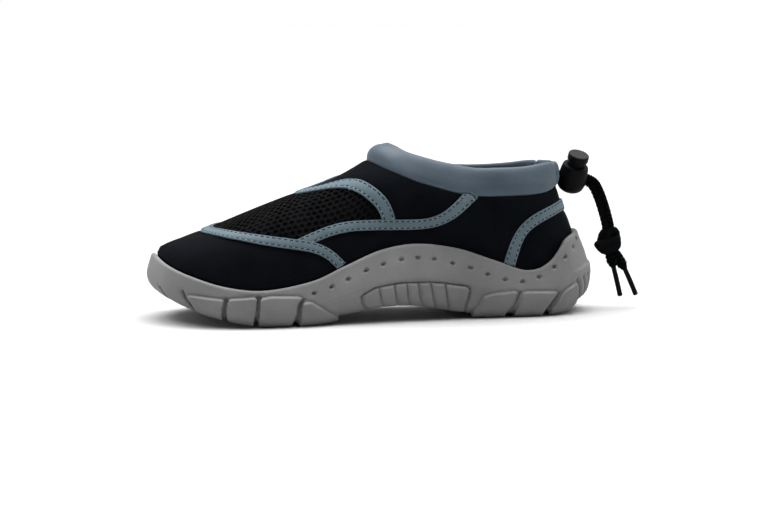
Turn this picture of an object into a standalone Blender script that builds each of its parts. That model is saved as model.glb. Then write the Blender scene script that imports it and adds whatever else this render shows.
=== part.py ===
"""A water shoe for the left foot, standing on its sole.

X runs forward to the toe, Y to the left (the outer side of this foot) and Z up, in metres.
The origin is on the ground, midway along the sole and midway across the ball of the foot.
Every form follows the last: a loop of stations runs from the heel round the outer side to the
toe and back round the inner side, and each station has one row in the tables below.
"""

import math
from typing import NamedTuple

import bmesh
import bpy
import numpy as np
from mathutils import Matrix, Vector

# Sole
SOLE_LENGTH = 0.266
BALL_WIDTH = 0.099
WAIST_WIDTH = 0.072
HEEL_WIDTH = 0.070
SOLE_THICKNESS = 0.0085
TREAD_DEPTH = 0.0022
LUG_RELIEF = 0.0012
ROOT = 0.0017
RIM_WALL = 0.0026
CUP_INSET = 0.0085
EDGE_INSET = 0.0065
HEEL_RIM = 0.0487
HEEL_SIDE_RIM = 0.0279
WAIST_RIM = 0.045
BALL_RIM = 0.0216
TOE_RIM = 0.0386
TOE_SPRING = 0.0165
ARCH_RISE = 0.0064
HEEL_BEVEL = 0.0055

# Upper
UPPER_WALL = 0.0022
INSTEP_HEIGHT = 0.0910
COLLAR_DIP = 0.0711
HEEL_HEIGHT = 0.0765
TOE_HEIGHT = 0.0440
OPENING_WIDTH = 0.066
BAND_THICKNESS = 0.0009
BAND_WIDTH = 0.0060

# Collar and insole
COLLAR_BAND = 0.0172
COLLAR_THICKNESS = 0.0056
COLLAR_SIDES = 10
COLLAR_END = 0.09  # rows from the middle of the back to each end
INSOLE_THICKNESS = 0.0032

# Drawcord and its lock
CORD_DIAMETER = 0.0031
LOCK_HEIGHT = 0.0178
LOCK_RADIUS = 0.0084
PLUNGER_RADIUS = 0.0046
CAP_RADIUS = 0.0063
CAP_THICKNESS = 0.0046
PLUNGER_TRAVEL = 0.0027
COLLAR_BACK = 0.0805  # the back of the top line, share of the sole's length from the heel end
LOCK_BEHIND = 0.010813
LOCK_ABOVE = 0.0023
LOCK_CENTRE = ((COLLAR_BACK - 0.5) * SOLE_LENGTH - LOCK_BEHIND, 0.0005, HEEL_HEIGHT + LOCK_ABOVE)
LOCK_LEAN_BACK = 8.0
LOCK_LEAN_OUT = 24.0
BORE_FLOOR = -0.78 * LOCK_HEIGHT / 2
TIP_DIAMETER = 0.0026
KNOT_OFFSET = (-0.0221, 0.0025, -0.0383)
KNOT_SIZE = (0.0084, 0.0070, 0.0088)

# Clearances
GAP = 0.0003
CUP_GAP = 0.0005
BAND_GAP = 0.00045
RUNNING_GAP = 0.00035

STEPS_PER_ROW = 3


class SoleRow(NamedTuple):
    along: float  # from the heel end, share of the sole's length
    lateral: float  # from the centre line to the widest line, outer side
    medial: float  # the same, inner side
    rim_lateral: float  # height of the rim, outer side
    rim_medial: float  # height of the rim, inner side
    ground: float  # height of the tread's face
    lean: float  # how far the rim stands inside the widest line


def sole_rows():
    ball, waist, heel = BALL_WIDTH, WAIST_WIDTH, HEEL_WIDTH
    back, side, arch, low, toe = HEEL_RIM, HEEL_SIDE_RIM, WAIST_RIM, BALL_RIM, TOE_RIM
    return [
        SoleRow(0.000, -0.015 * heel, 0.015 * heel, back, back, HEEL_BEVEL, 0.0080),
        SoleRow(0.018, 0.225 * heel, 0.245 * heel, 0.975 * back, 0.965 * back, 0.85 * HEEL_BEVEL, 0.0078),
        SoleRow(0.062, 0.390 * heel, 0.400 * heel, 0.91 * back, 0.90 * back, 0.30 * HEEL_BEVEL, 0.0062),
        SoleRow(0.118, 0.474 * heel, 0.471 * heel, 1.14 * side, 1.17 * side, 0.0, 0.0036),
        SoleRow(0.175, 0.500 * heel, 0.489 * heel, side, 1.03 * side, 0.0, 0.0026),
        SoleRow(0.250, 0.510 * heel, 0.486 * heel, 0.765 * arch, 0.75 * arch, 0.0, 0.0030),
        SoleRow(0.330, 0.514 * waist, 0.451 * waist, 0.925 * arch, 0.89 * arch, 0.30 * ARCH_RISE, 0.0042),
        SoleRow(0.420, 0.542 * waist, 0.437 * waist, arch, 0.955 * arch, 0.95 * ARCH_RISE, 0.0052),
        SoleRow(0.500, 0.576 * waist, 0.458 * waist, 0.94 * arch, 0.92 * arch, ARCH_RISE, 0.0052),
        SoleRow(0.580, 0.450 * ball, 0.379 * ball, 0.762 * arch, 0.775 * arch, 0.52 * ARCH_RISE, 0.0044),
        SoleRow(0.660, 0.481 * ball, 0.439 * ball, 1.20 * low, 1.25 * low, 0.0, 0.0034),
        SoleRow(0.765, 0.500 * ball, 0.495 * ball, low, 1.02 * low, 0.0, 0.0024),
        SoleRow(0.850, 0.460 * ball, 0.487 * ball, 1.09 * low, 1.11 * low, 0.22 * TOE_SPRING, 0.0018),
        SoleRow(0.925, 0.350 * ball, 0.409 * ball, 0.752 * toe, 0.765 * toe, 0.53 * TOE_SPRING, 0.0018),
        SoleRow(0.975, 0.187 * ball, 0.268 * ball, 0.887 * toe, 0.895 * toe, 0.80 * TOE_SPRING, 0.0022),
        SoleRow(1.000, -0.050 * ball, 0.050 * ball, toe, toe, TOE_SPRING, 0.0034),
    ]


class ShapeRow(NamedTuple):
    start_lean: float  # degrees from upright where the section leaves the rim
    end_lean: float  # degrees from upright where it meets the top line
    sweep: float  # degrees that the end turns along the ridge
    start_pull: float  # handle at the rim, share of the chord
    end_pull: float  # handle at the top line, share of the chord


SHAPE_ROWS = [
    ShapeRow(16, 32, 0, 0.33, 0.33),
    ShapeRow(14, 22, 0, 0.33, 0.33),
    ShapeRow(8, 15, 0, 0.33, 0.33),
    ShapeRow(3, 10, 0, 0.33, 0.33),
    ShapeRow(2, 9, 0, 0.33, 0.33),
    ShapeRow(4, 12, 0, 0.33, 0.33),
    ShapeRow(6, 20, 0, 0.33, 0.33),
    ShapeRow(7, 30, 10, 0.35, 0.34),
    ShapeRow(8, 44, 24, 0.38, 0.34),
    ShapeRow(8, 60, 38, 0.42, 0.38),
    ShapeRow(8, 90, 24, 0.45, 0.42),
    ShapeRow(9, 90, 22, 0.46, 0.45),
    ShapeRow(10, 90, 24, 0.44, 0.45),
    ShapeRow(13, 90, 32, 0.42, 0.42),
    ShapeRow(20, 90, 50, 0.38, 0.38),
    ShapeRow(28, 90, 90, 0.36, 0.36),
]


class CollarRow(NamedTuple):
    along: float  # lower edge of the collar, share of the sole's length from the heel end
    lateral: float  # half of the opening, outer side, share of its width
    medial: float  # the same, inner side
    height: float  # of the lower edge, outer side
    inner_height: float  # the same, inner side
    tilt: float  # degrees that the band leans in over the foot
    band: float  # width of the band, share of the full width


def collar_rows():
    dip, instep, back = COLLAR_DIP, INSTEP_HEIGHT, HEEL_HEIGHT
    return [
        CollarRow(COLLAR_BACK, -0.015, 0.015, back, back, 2, 0.74),
        CollarRow(0.089, 0.195, 0.225, 0.99 * back, 0.98 * back, 4, 0.80),
        CollarRow(0.120, 0.365, 0.385, 1.022 * dip, 1.00 * dip, 8, 1.0),
        CollarRow(0.169, 0.455, 0.465, 1.004 * dip, 0.98 * dip, 12, 1.0),
        CollarRow(0.228, 0.500, 0.500, dip, 0.975 * dip, 15, 1.0),
        CollarRow(0.295, 0.508, 0.492, 1.009 * dip, 0.985 * dip, 18, 1.0),
        CollarRow(0.362, 0.490, 0.462, 1.06 * dip, 1.04 * dip, 22, 1.0),
        CollarRow(0.424, 0.440, 0.405, 0.885 * instep, 0.87 * instep, 30, 1.0),
        CollarRow(0.482, 0.325, 0.300, 0.955 * instep, 0.95 * instep, 42, 1.0),
        CollarRow(0.513, 0.0, 0.0, instep, instep, 50, 1.0),
    ]


class RidgeRow(NamedTuple):
    along: float  # share of the sole's length from the heel end
    across: float  # share of the ball's width, to the outer side
    height: float


def ridge_rows():
    rise = INSTEP_HEIGHT - TOE_HEIGHT
    return [
        RidgeRow(0.513, 0.000, INSTEP_HEIGHT),
        RidgeRow(0.597, -0.004, TOE_HEIGHT + 0.745 * rise),
        RidgeRow(0.690, -0.012, TOE_HEIGHT + 0.575 * rise),
        RidgeRow(0.778, -0.024, TOE_HEIGHT + 0.385 * rise),
        RidgeRow(0.855, -0.036, TOE_HEIGHT + 0.205 * rise),
        RidgeRow(0.922, -0.045, TOE_HEIGHT + 0.085 * rise),
        RidgeRow(0.967, -0.050, TOE_HEIGHT),
    ]


TOE = len(SHAPE_ROWS) - 1  # the toe's station; the medial stations follow it back to the heel
LOOP = 2 * TOE
THROAT = 9  # the station whose section ends at the front of the opening
TURN_ROWS = 2.0  # rows behind the throat over which the sections turn to cross the ridge


def catmull_rom(before, start, end, after, share):
    return 0.5 * (
        2 * start
        + (end - before) * share
        + (2 * before - 5 * start + 4 * end - after) * share**2
        + (3 * start - before - 3 * end + after) * share**3
    )


def on_ring(values, place):
    """A smooth value at this place of a closed loop of rows."""
    count = len(values)
    index = math.floor(place)
    rows = [values[(index + step) % count] for step in (-1, 0, 1, 2)]
    return catmull_rom(*rows, place - index)


def on_strip(values, place):
    """A smooth value at this place of an open run of rows."""
    last = len(values) - 1
    place = min(max(place, 0.0), float(last))
    index = min(int(place), last - 1)
    before = values[index - 1] if index > 0 else 2 * values[0] - values[1]
    after = values[index + 2] if index + 2 <= last else 2 * values[last] - values[last - 1]
    return catmull_rom(before, values[index], values[index + 1], after, place - index)


def from_heel(share):
    return (share - 0.5) * SOLE_LENGTH


def sole_ring():
    """Rows of x, y, rim, ground and lean for the whole loop."""
    rows = sole_rows()
    outer = [(from_heel(r.along), r.lateral, r.rim_lateral, r.ground, r.lean) for r in rows]
    inner = [(from_heel(r.along), -r.medial, r.rim_medial, r.ground, r.lean) for r in rows]
    return np.array(outer + inner[-2:0:-1])


def collar_ring():
    """Rows of x, y, z, tilt and band width for the loop of the opening."""
    rows = collar_rows()
    outer = [(from_heel(r.along), r.lateral * OPENING_WIDTH, r.height, r.tilt, r.band) for r in rows]
    inner = [(from_heel(r.along), -r.medial * OPENING_WIDTH, r.inner_height, r.tilt, r.band) for r in rows]
    return np.array(outer + inner[-2:0:-1])


SOLE_RING = sole_ring()
COLLAR_RING = collar_ring()
SHAPE_STRIP = np.array(SHAPE_ROWS, float)
RIDGE_STRIP = np.array([(from_heel(r.along), r.across * BALL_WIDTH, r.height) for r in ridge_rows()])
UP = np.array((0.0, 0.0, 1.0))


def unit(vector):
    return vector / np.linalg.norm(vector)


def row_of(station):
    """The row that a station of the loop shares with its twin on the other side."""
    station = station % LOOP
    return station if station <= TOE else LOOP - station


def inward(ring, place, step=0.05):
    """Level direction from a closed loop towards its inside; the loop runs clockwise from above."""
    along = on_ring(ring, place + step)[:2] - on_ring(ring, place - step)[:2]
    return unit(np.array((along[1], -along[0], 0.0)))


class Wall(NamedTuple):
    base: np.ndarray  # widest point of the sole, at height 0
    inward: np.ndarray
    rim: float
    ground: float
    lean: float


def wall_at(station):
    x, y, rim, ground, lean = on_ring(SOLE_RING, station % LOOP)
    return Wall(np.array((x, y, 0.0)), inward(SOLE_RING, station % LOOP), rim, max(ground, 0.0), lean)


def wall_point(wall, inset, height):
    return wall.base + wall.inward * inset + UP * height


def side_inset(wall, share):
    """How far the sole's side stands in from its widest line, at a share of its height."""
    shares = (0.0, 0.10, 0.22, 0.40, 0.60, 0.80, 0.93)
    edge = EDGE_INSET - LUG_RELIEF
    insets = (edge, 0.45 * edge, 0.15 * edge, 0.0, 0.22 * wall.lean, 0.62 * wall.lean, wall.lean)
    return float(np.interp(share, shares, insets)) + LUG_RELIEF * max(0.0, 1 - share / 0.5)


def floor_height(wall):
    return wall.ground + SOLE_THICKNESS


def rim_seat(wall):
    """Inset of the cup's inner face at the rim."""
    return wall.lean + RIM_WALL


def collar_place(station):
    """The place on the collar's loop that a station behind the throat reaches."""
    station = station % LOOP
    return station if station <= TOE else station - LOOP


def top_point(station):
    row = row_of(station)
    if row <= THROAT:
        return on_ring(COLLAR_RING, collar_place(station))[:3]
    return on_strip(RIDGE_STRIP, row - THROAT)


def side_sign(station):
    return 1.0 if station % LOOP <= TOE else -1.0


def end_direction(station):
    """The way that a section runs as it meets the top line."""
    row = row_of(station)
    shape = on_strip(SHAPE_STRIP, row)
    lean, sweep = math.radians(shape[1]), math.radians(shape[2])
    place = max(row - THROAT, 0.0)
    back = unit(on_strip(RIDGE_STRIP, place - 0.1) - on_strip(RIDGE_STRIP, place + 0.1))
    over = np.array((0.0, -side_sign(station), 0.0))
    along_ridge = math.cos(sweep) * over + math.sin(sweep) * back
    if row >= THROAT:
        return along_ridge
    into = inward(COLLAR_RING, collar_place(station))
    to_collar = math.cos(lean) * UP + math.sin(lean) * into
    turn = min(max((row - THROAT + TURN_ROWS) / TURN_ROWS, 0.0), 1.0)
    turn = turn * turn * (3 - 2 * turn)
    return unit(to_collar * (1 - turn) + along_ridge * turn)


def upper_point(station, height):
    """Outer face of the upper: height -1 at the floor of the cup, 0 at the rim, 1 at the top line."""
    wall = wall_at(station)
    rim = wall_point(wall, rim_seat(wall) + CUP_GAP, wall.rim)
    if height < 0:
        foot = wall_point(wall, CUP_INSET + CUP_GAP, floor_height(wall) + GAP)
        return rim + (foot - rim) * -height
    shape = on_strip(SHAPE_STRIP, row_of(station))
    top = top_point(station)
    chord = np.linalg.norm(top - rim)
    lean = math.radians(shape[0])
    start = rim + shape[3] * chord * (math.cos(lean) * UP + math.sin(lean) * wall.inward)
    end = top - shape[4] * chord * end_direction(station)
    rest = 1 - height
    return rest**3 * rim + 3 * rest**2 * height * start + 3 * rest * height**2 * end + height**3 * top


def upper_normal(station, height, step=0.04):
    """Outward unit normal of the upper's outer face."""
    row = row_of(station)
    if row >= THROAT and height > 1 - step:
        place = row - THROAT
        along = on_strip(RIDGE_STRIP, place + 0.1) - on_strip(RIDGE_STRIP, place - 0.1)
        return unit(np.cross(along, (0.0, 1.0, 0.0)))
    low, high = max(height - step, -1.0), min(height + step, 1.0)
    if height <= 0:
        low, high = (-1.0, -0.5) if height < 0 else (-0.2, 0.08)
    along = upper_point(station + step, height) - upper_point(station - step, height)
    rising = upper_point(station, high) - upper_point(station, low)
    return unit(np.cross(rising, along))


def on_upper(station, height, lift):
    return upper_point(station, height) + lift * upper_normal(station, height)


# Mesh helpers


def clear_scene():
    for obj in list(bpy.data.objects):
        bpy.data.objects.remove(obj, do_unlink=True)


def material(name, colour, roughness, metallic=0.0):
    made = bpy.data.materials.new(name)
    made.use_nodes = True
    shader = made.node_tree.nodes["Principled BSDF"]
    shader.inputs["Base Color"].default_value = (*colour, 1.0)
    shader.inputs["Roughness"].default_value = roughness
    shader.inputs["Metallic"].default_value = metallic
    made.diffuse_color = (*colour, 1.0)
    return made


def add_mesh(name, points, faces, finish, sharp=math.radians(35)):
    """One object from points and faces; doubled points are joined and the faces turned out."""
    shape = bmesh.new()
    verts = [shape.verts.new(point) for point in points]
    for face in faces:
        corners = list(dict.fromkeys(face))
        if len(corners) > 2:
            shape.faces.new([verts[corner] for corner in corners])
    bmesh.ops.remove_doubles(shape, verts=shape.verts, dist=2e-6)
    bmesh.ops.dissolve_degenerate(shape, edges=shape.edges, dist=1e-6)
    bmesh.ops.recalc_face_normals(shape, faces=shape.faces)
    mesh = bpy.data.meshes.new(name)
    shape.to_mesh(mesh)
    shape.free()
    mesh.shade_smooth()
    mesh.set_sharp_from_angle(angle=sharp)
    obj = bpy.data.objects.new(name, mesh)
    bpy.context.scene.collection.objects.link(obj)
    mesh.materials.append(finish)
    return obj


def lofted(rings, capped=True):
    """Points and faces through closed rings of equal length, with flat ends."""
    size = len(rings[0])
    points = [point for ring in rings for point in ring]
    faces = []
    for index in range(len(rings) - 1):
        first, second = index * size, (index + 1) * size
        for corner in range(size):
            after = (corner + 1) % size
            faces.append((first + corner, first + after, second + after, second + corner))
    if capped:
        last = (len(rings) - 1) * size
        faces.append(tuple(range(size)))
        faces.append(tuple(range(last, last + size)))
    return points, faces


def combine(target, tool, operation):
    """A Boolean of target with tool, which stays in the file as a hidden guide."""
    tool.hide_render = True
    tool.display_type = "WIRE"
    step = target.modifiers.new(tool.name, "BOOLEAN")
    step.operation = operation
    step.object = tool
    step.solver = "EXACT"


def steps(start, end, most):
    """Evenly spaced values from start to end, no further apart than most."""
    count = max(1, math.ceil(abs(end - start) / most - 1e-9))
    return [start + (end - start) * index / count for index in range(count + 1)]


# Sole


def outer_profile(wall):
    """The sole's side from the edge of its underside up and over the rim to the floor of the cup."""
    tall = wall.rim - wall.ground
    shares = (0.10, 0.22, 0.40, 0.60, 0.80)
    side = [(side_inset(wall, share), wall.ground + share * tall) for share in shares]
    bottom = (side_inset(wall, 0.0), wall.ground + TREAD_DEPTH)
    side = [bottom] + [(inset, max(height, bottom[1] + 0.0004)) for inset, height in side]
    lip = [
        (wall.lean, wall.rim - 0.0016),
        (wall.lean + 0.0006, wall.rim - 0.0004),
        (wall.lean + 0.5 * RIM_WALL, wall.rim),
        (wall.lean + RIM_WALL - 0.0004, wall.rim - 0.0004),
        (rim_seat(wall), wall.rim - 0.0014),
    ]
    return side + lip + [(CUP_INSET, floor_height(wall))]


def sole_section(row):
    """One closed section across the sole at a row, through both sides."""
    sides = []
    for station in (row, (LOOP - row) % LOOP):
        wall = wall_at(station)
        sides.append([wall_point(wall, inset, height) for inset, height in outer_profile(wall)])
    lateral, medial = sides
    floor = (lateral[-1] + medial[-1]) / 2
    under = (lateral[0] + medial[0]) / 2
    return lateral + [floor] + medial[::-1] + [under]


def side_station(row, side):
    return row if side > 0 else LOOP - row


ROW_TABLE = steps(0, TOE, 0.05)
PLACE_TABLES = {side: [wall_at(side_station(row, side)).base[0] for row in ROW_TABLE] for side in (1, -1)}


def station_at(along, side):
    """The station whose widest line lies at this share of the length, on one side."""
    row = float(np.interp(from_heel(along), PLACE_TABLES[side], ROW_TABLE))
    return side_station(row, side)


class Lug(NamedTuple):
    name: str
    back: float  # share of the sole's length, from the heel end
    front: float
    back_height: float  # top of the lug above the tread's face
    front_height: float
    reach: float  # how far it runs in under the sole


LUGS = [
    Lug("heel_corner", 0.020, 0.066, 0.0110, 0.0105, 0.012),
    Lug("heel_rear", 0.080, 0.176, 0.0120, 0.0140, 0.014),
    Lug("heel_front", 0.190, 0.272, 0.0142, 0.0100, 0.014),
    Lug("ball_rear", 0.605, 0.686, 0.0030, 0.0135, 0.013),
    Lug("ball_middle", 0.699, 0.779, 0.0160, 0.0160, 0.015),
    Lug("ball_front", 0.792, 0.852, 0.0145, 0.0125, 0.015),
    Lug("toe_rear", 0.865, 0.930, 0.0110, 0.0092, 0.014),
    Lug("toe_front", 0.944, 0.979, 0.0088, 0.0085, 0.013),
]
RIB_COUNT = 7
RIBS_BACK, RIBS_FRONT = 0.292, 0.535
RIB_GAP = 0.0011
RIB_TOP = 0.0205
RIB_RELIEF = 0.0007


def lug_section(station, height, reach, relief):
    """Closed section of a lug: down the sole's side, in under it, and back inside the rubber."""
    wall = wall_at(station)
    tall = wall.rim - wall.ground
    heights = [height, 0.55 * height, 0.22 * height]
    side = [(side_inset(wall, rise / tall) - relief, wall.ground + rise) for rise in heights]
    under = [(EDGE_INSET - LUG_RELIEF, wall.ground), (EDGE_INSET + reach, wall.ground)]
    inside = [
        (EDGE_INSET + reach, wall.ground + TREAD_DEPTH + ROOT),
        (CUP_INSET - 0.0005, wall.ground + TREAD_DEPTH + ROOT),
        (side_inset(wall, height / tall) + 0.0012, wall.ground + height - 0.0004),
    ]
    return [wall_point(wall, inset, rise) for inset, rise in side + under + inside]


def add_lug(lug, side, finish):
    start, end = station_at(lug.back, side), station_at(lug.front, side)
    rings = []
    for station in steps(start, end, 0.5):
        share = (station - start) / (end - start)
        height = lug.back_height + share * (lug.front_height - lug.back_height)
        rings.append(lug_section(station, height, lug.reach, LUG_RELIEF))
    return add_mesh(f"{lug.name}_{'outer' if side > 0 else 'inner'}", *lofted(rings), finish)


def rib_section(station, height):
    """Closed section of an arch rib: from the edge of the underside up the side."""
    wall = wall_at(station)
    tall = wall.rim - wall.ground
    shares = (height / tall, 0.5 * height / tall, 0.12)
    side = [(side_inset(wall, share) - RIB_RELIEF, wall.ground + share * tall) for share in shares]
    edge = (EDGE_INSET - LUG_RELIEF, wall.ground + TREAD_DEPTH - RIB_RELIEF)
    inside = [
        (EDGE_INSET + 0.001, wall.ground + TREAD_DEPTH + ROOT),
        (0.0030, wall.ground + height - 0.0005),
    ]
    return [wall_point(wall, inset, rise) for inset, rise in side + [edge] + inside]


def add_ribs(side, finish):
    """The ribs at the arch, side by side with an even gap."""
    pitch = (RIBS_FRONT - RIBS_BACK) / RIB_COUNT
    half_gap = 0.5 * RIB_GAP / SOLE_LENGTH
    ribs = []
    where = "outer" if side > 0 else "inner"
    for index in range(RIB_COUNT):
        back = RIBS_BACK + index * pitch + half_gap
        front = RIBS_BACK + (index + 1) * pitch - half_gap
        middle = (index + 0.5) / RIB_COUNT
        height = RIB_TOP * (1 - 0.16 * (2 * middle - 1) ** 2)
        stations = steps(station_at(back, side), station_at(front, side), 0.5)
        rings = [rib_section(station, height) for station in stations]
        ribs.append(add_mesh(f"arch_rib_{index}_{where}", *lofted(rings), finish))
    return ribs


class Pad(NamedTuple):
    name: str
    back: float  # share of the sole's length
    front: float
    point: float  # how far the pad's middle runs ahead of its sides, share of the length
    width: float  # share of the sole's width there


PADS = [
    Pad("heel_pad_rear", 0.075, 0.135, 0.018, 0.42),
    Pad("heel_pad_front", 0.165, 0.235, 0.018, 0.46),
    Pad("ball_pad_rear", 0.640, 0.705, 0.022, 0.46),
    Pad("ball_pad_middle", 0.735, 0.800, 0.022, 0.48),
    Pad("ball_pad_front", 0.830, 0.885, 0.020, 0.46),
]


def ground_at(along):
    return wall_at(station_at(along, 1)).ground


def half_width_at(along, side):
    return abs(wall_at(station_at(along, side)).base[1])


def add_pad(pad, finish):
    """An arrow-shaped pad under the middle of the sole, from the rubber down to the tread's face."""
    middle = (pad.back + pad.front) / 2
    outer = half_width_at(middle, 1) * pad.width
    inner = half_width_at(middle, -1) * pad.width
    tip = 0.5 * (outer - inner)
    corners = [
        (pad.back, outer),
        (pad.back + pad.point, tip),
        (pad.back, -inner),
        (pad.front, -inner),
        (pad.front + pad.point, tip),
        (pad.front, outer),
    ]
    low = [(from_heel(along), y, ground_at(along)) for along, y in corners]
    high = [(x, y, z + TREAD_DEPTH + ROOT) for x, y, z in low]
    return add_mesh(pad.name, *lofted([low, high]), finish)


def add_outsole(finish):
    rings = [sole_section(row) for row in steps(0, TOE, 1 / STEPS_PER_ROW)]
    outsole = add_mesh("outsole", *lofted(rings, capped=False), finish)
    for side in (1, -1):
        for lug in LUGS:
            combine(outsole, add_lug(lug, side, finish), "UNION")
        for rib in add_ribs(side, finish):
            combine(outsole, rib, "UNION")
    for pad in PADS:
        combine(outsole, add_pad(pad, finish), "UNION")
    return outsole


# Insole


def insole_section(row):
    edge = CUP_INSET + CUP_GAP + UPPER_WALL + 2 * GAP
    ends = []
    for station in (row, (LOOP - row) % LOOP):
        wall = wall_at(station)
        low = floor_height(wall) + 2 * GAP
        high = low + INSOLE_THICKNESS
        ends.append([wall_point(wall, edge, low), wall_point(wall, edge, high)])
    lateral, medial = ends
    return lateral + medial[::-1]


def add_insole(finish):
    rings = [insole_section(row) for row in steps(0, TOE, 0.5)]
    return add_mesh("insole", *lofted(rings, capped=False), finish)


# Upper

HEIGHTS = (-1.0, 0.0, 0.14, 0.30, 0.47, 0.64, 0.82, 1.0)


def add_upper(finish):
    """The hollow shell: an outer and an inner face, joined round the foot and round the opening."""
    stations = [index / STEPS_PER_ROW for index in range(LOOP * STEPS_PER_ROW)]
    points, faces = [], []
    for lift in (0.0, -UPPER_WALL):
        for station in stations:
            for height in HEIGHTS:
                points.append(on_upper(station, height, lift))
    tall, around = len(HEIGHTS), len(stations)
    inner = tall * around
    for index, station in enumerate(stations):
        here, there = index * tall, (index + 1) % around * tall
        for level in range(tall - 1):
            outer_face = (here + level, there + level, there + level + 1, here + level + 1)
            faces.append(outer_face)
            faces.append(tuple(inner + corner for corner in outer_face[::-1]))
        faces.append((here, there, inner + there, inner + here))
        middle = row_of(station + 0.5 / STEPS_PER_ROW)
        if middle < THROAT:
            top, next_top = here + tall - 1, there + tall - 1
            faces.append((top, next_top, inner + next_top, inner + top))
    return add_mesh("upper", points, faces, finish)


# Overlays on the upper


class BandRow(NamedTuple):
    station: float
    height: float
    width: float  # share of the full width


TOE_BAND = [
    BandRow(9.20, 0.03, 1.0),
    BandRow(9.42, 0.11, 1.0),
    BandRow(9.80, 0.20, 1.0),
    BandRow(10.35, 0.27, 1.0),
    BandRow(11.00, 0.35, 1.0),
    BandRow(11.75, 0.46, 1.0),
    BandRow(12.30, 0.58, 1.0),
    BandRow(12.85, 0.80, 1.0),
    BandRow(13.20, 1.00, 1.0),
]
SIDE_BAND = [
    BandRow(9.90, 0.31, 1.0),
    BandRow(9.50, 0.295, 1.0),
    BandRow(8.80, 0.265, 1.0),
    BandRow(8.10, 0.26, 1.0),
    BandRow(7.30, 0.27, 1.0),
    BandRow(6.75, 0.31, 1.0),
    BandRow(6.30, 0.42, 1.1),
    BandRow(5.75, 0.64, 1.2),
    BandRow(5.20, 0.93, 1.2),
]
INSTEP_BAND = [
    BandRow(7.80, 0.345, 1.0),
    BandRow(7.83, 0.46, 1.0),
    BandRow(8.10, 0.56, 1.1),
    BandRow(8.60, 0.62, 1.1),
    BandRow(9.35, 0.73, 1.0),
    BandRow(10.00, 0.87, 1.0),
    BandRow(10.50, 0.94, 1.0),
    BandRow(10.78, 1.00, 1.0),
]
HEEL_BAND = [
    BandRow(4.50, 0.03, 1.2),
    BandRow(4.25, 0.28, 1.15),
    BandRow(3.90, 0.50, 1.1),
    BandRow(3.40, 0.64, 1.1),
    BandRow(2.70, 0.71, 1.1),
    BandRow(1.40, 0.67, 1.0),
    BandRow(0.00, 0.58, 1.0),
]


class Place(NamedTuple):
    station: float
    height: float
    width: float

    def point(self):
        return upper_point(self.station, self.height)


def band_path(rows, spacing=0.34):
    table = np.array(rows, float)
    return [Place(*on_strip(table, place)) for place in steps(0, len(rows) - 1, spacing)]


def on_other_side(path):
    return [place._replace(station=LOOP - place.station) for place in path]


def across_foot(path):
    """A path from the outer side on over the ridge, or round the heel, down the inner side."""
    return path + on_other_side(path)[-2::-1]


def band_section(before, here, after):
    """Closed section of a strip: its underside near the upper and its outer face above it."""
    along = after.point() - before.point()
    across = unit(np.cross(upper_normal(here.station, here.height), along))
    step = -0.02 if here.height > 0.9 else 0.02
    by_station = (upper_point(here.station + 0.02, here.height) - here.point()) / 0.02
    by_height = (upper_point(here.station, here.height + step) - here.point()) / step
    move = np.linalg.lstsq(np.column_stack((by_station, by_height)), across, rcond=None)[0]
    ring = []
    for lift in (BAND_GAP, BAND_GAP + BAND_THICKNESS):
        row = []
        for share in (-0.5, 0.0, 0.5):
            reach = share * here.width * BAND_WIDTH
            height = min(max(here.height + reach * move[1], 0.01), 1.0)
            row.append(on_upper(here.station + reach * move[0], height, lift))
        ring += row if lift == BAND_GAP else row[::-1]
    return ring


def add_band(name, path, finish):
    last = len(path) - 1
    rings = [
        band_section(path[max(index - 1, 0)], place, path[min(index + 1, last)])
        for index, place in enumerate(path)
    ]
    return add_mesh(name, *lofted(rings), finish)


# Collar


def collar_section(place):
    """Closed section of the padded band round the opening."""
    x, y, z, tilt, band = on_ring(COLLAR_RING, place)
    into = inward(COLLAR_RING, place)
    tilt = math.radians(tilt)
    rise = math.cos(tilt) * UP + math.sin(tilt) * into
    out = math.cos(tilt) * -into + math.sin(tilt) * UP
    half_band = 0.5 * band * COLLAR_BAND
    low = np.array((x, y, z)) + rise * GAP
    centre = low + rise * half_band - out * 0.5 * UPPER_WALL
    ring = []
    for index in range(COLLAR_SIDES):
        turn = 2 * math.pi * index / COLLAR_SIDES
        up, side = math.sin(turn), math.cos(turn)
        up = math.copysign(abs(up) ** 0.75, up)
        ring.append(centre + rise * half_band * up + out * 0.5 * COLLAR_THICKNESS * side)
    return ring


def add_collar(finish):
    """The band, with its two ends a short way apart at the back."""
    rings = [collar_section(place) for place in steps(COLLAR_END, len(COLLAR_RING) - COLLAR_END, 0.4)]
    return add_mesh("collar", *lofted(rings), finish)


# Cord lock


def lock_frame():
    """Axis of the lock, the way that the cord runs through it, and the third direction."""
    back, out = math.radians(LOCK_LEAN_BACK), math.radians(LOCK_LEAN_OUT)
    axis = unit(np.array((-math.sin(back), math.sin(out), math.cos(back) * math.cos(out))))
    through = np.array((-1.0, 0.0, 0.0))
    through = unit(through - axis * np.dot(through, axis))
    return axis, through, np.cross(axis, through)


def lock_matrix(height=0.0):
    axis, through, side = lock_frame()
    place = np.array(LOCK_CENTRE) + axis * height
    columns = np.column_stack((through, side, axis))
    matrix = Matrix(columns.tolist()).to_4x4()
    matrix.translation = Vector(place)
    return matrix


def turned(name, profile, finish, sides=20):
    """A solid of revolution about Z; the profile runs from the axis to the axis."""
    rings = []
    for radius, height in profile:
        turns = [2 * math.pi * index / sides for index in range(sides)]
        rings.append([(radius * math.cos(turn), radius * math.sin(turn), height) for turn in turns])
    return add_mesh(name, *lofted(rings, capped=False), finish)


def box(name, low, high, finish):
    corners = [(low[0], low[1]), (high[0], low[1]), (high[0], high[1]), (low[0], high[1])]
    rings = [[(x, y, z) for x, y in corners] for z in (low[2], high[2])]
    return add_mesh(name, *lofted(rings), finish)


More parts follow.
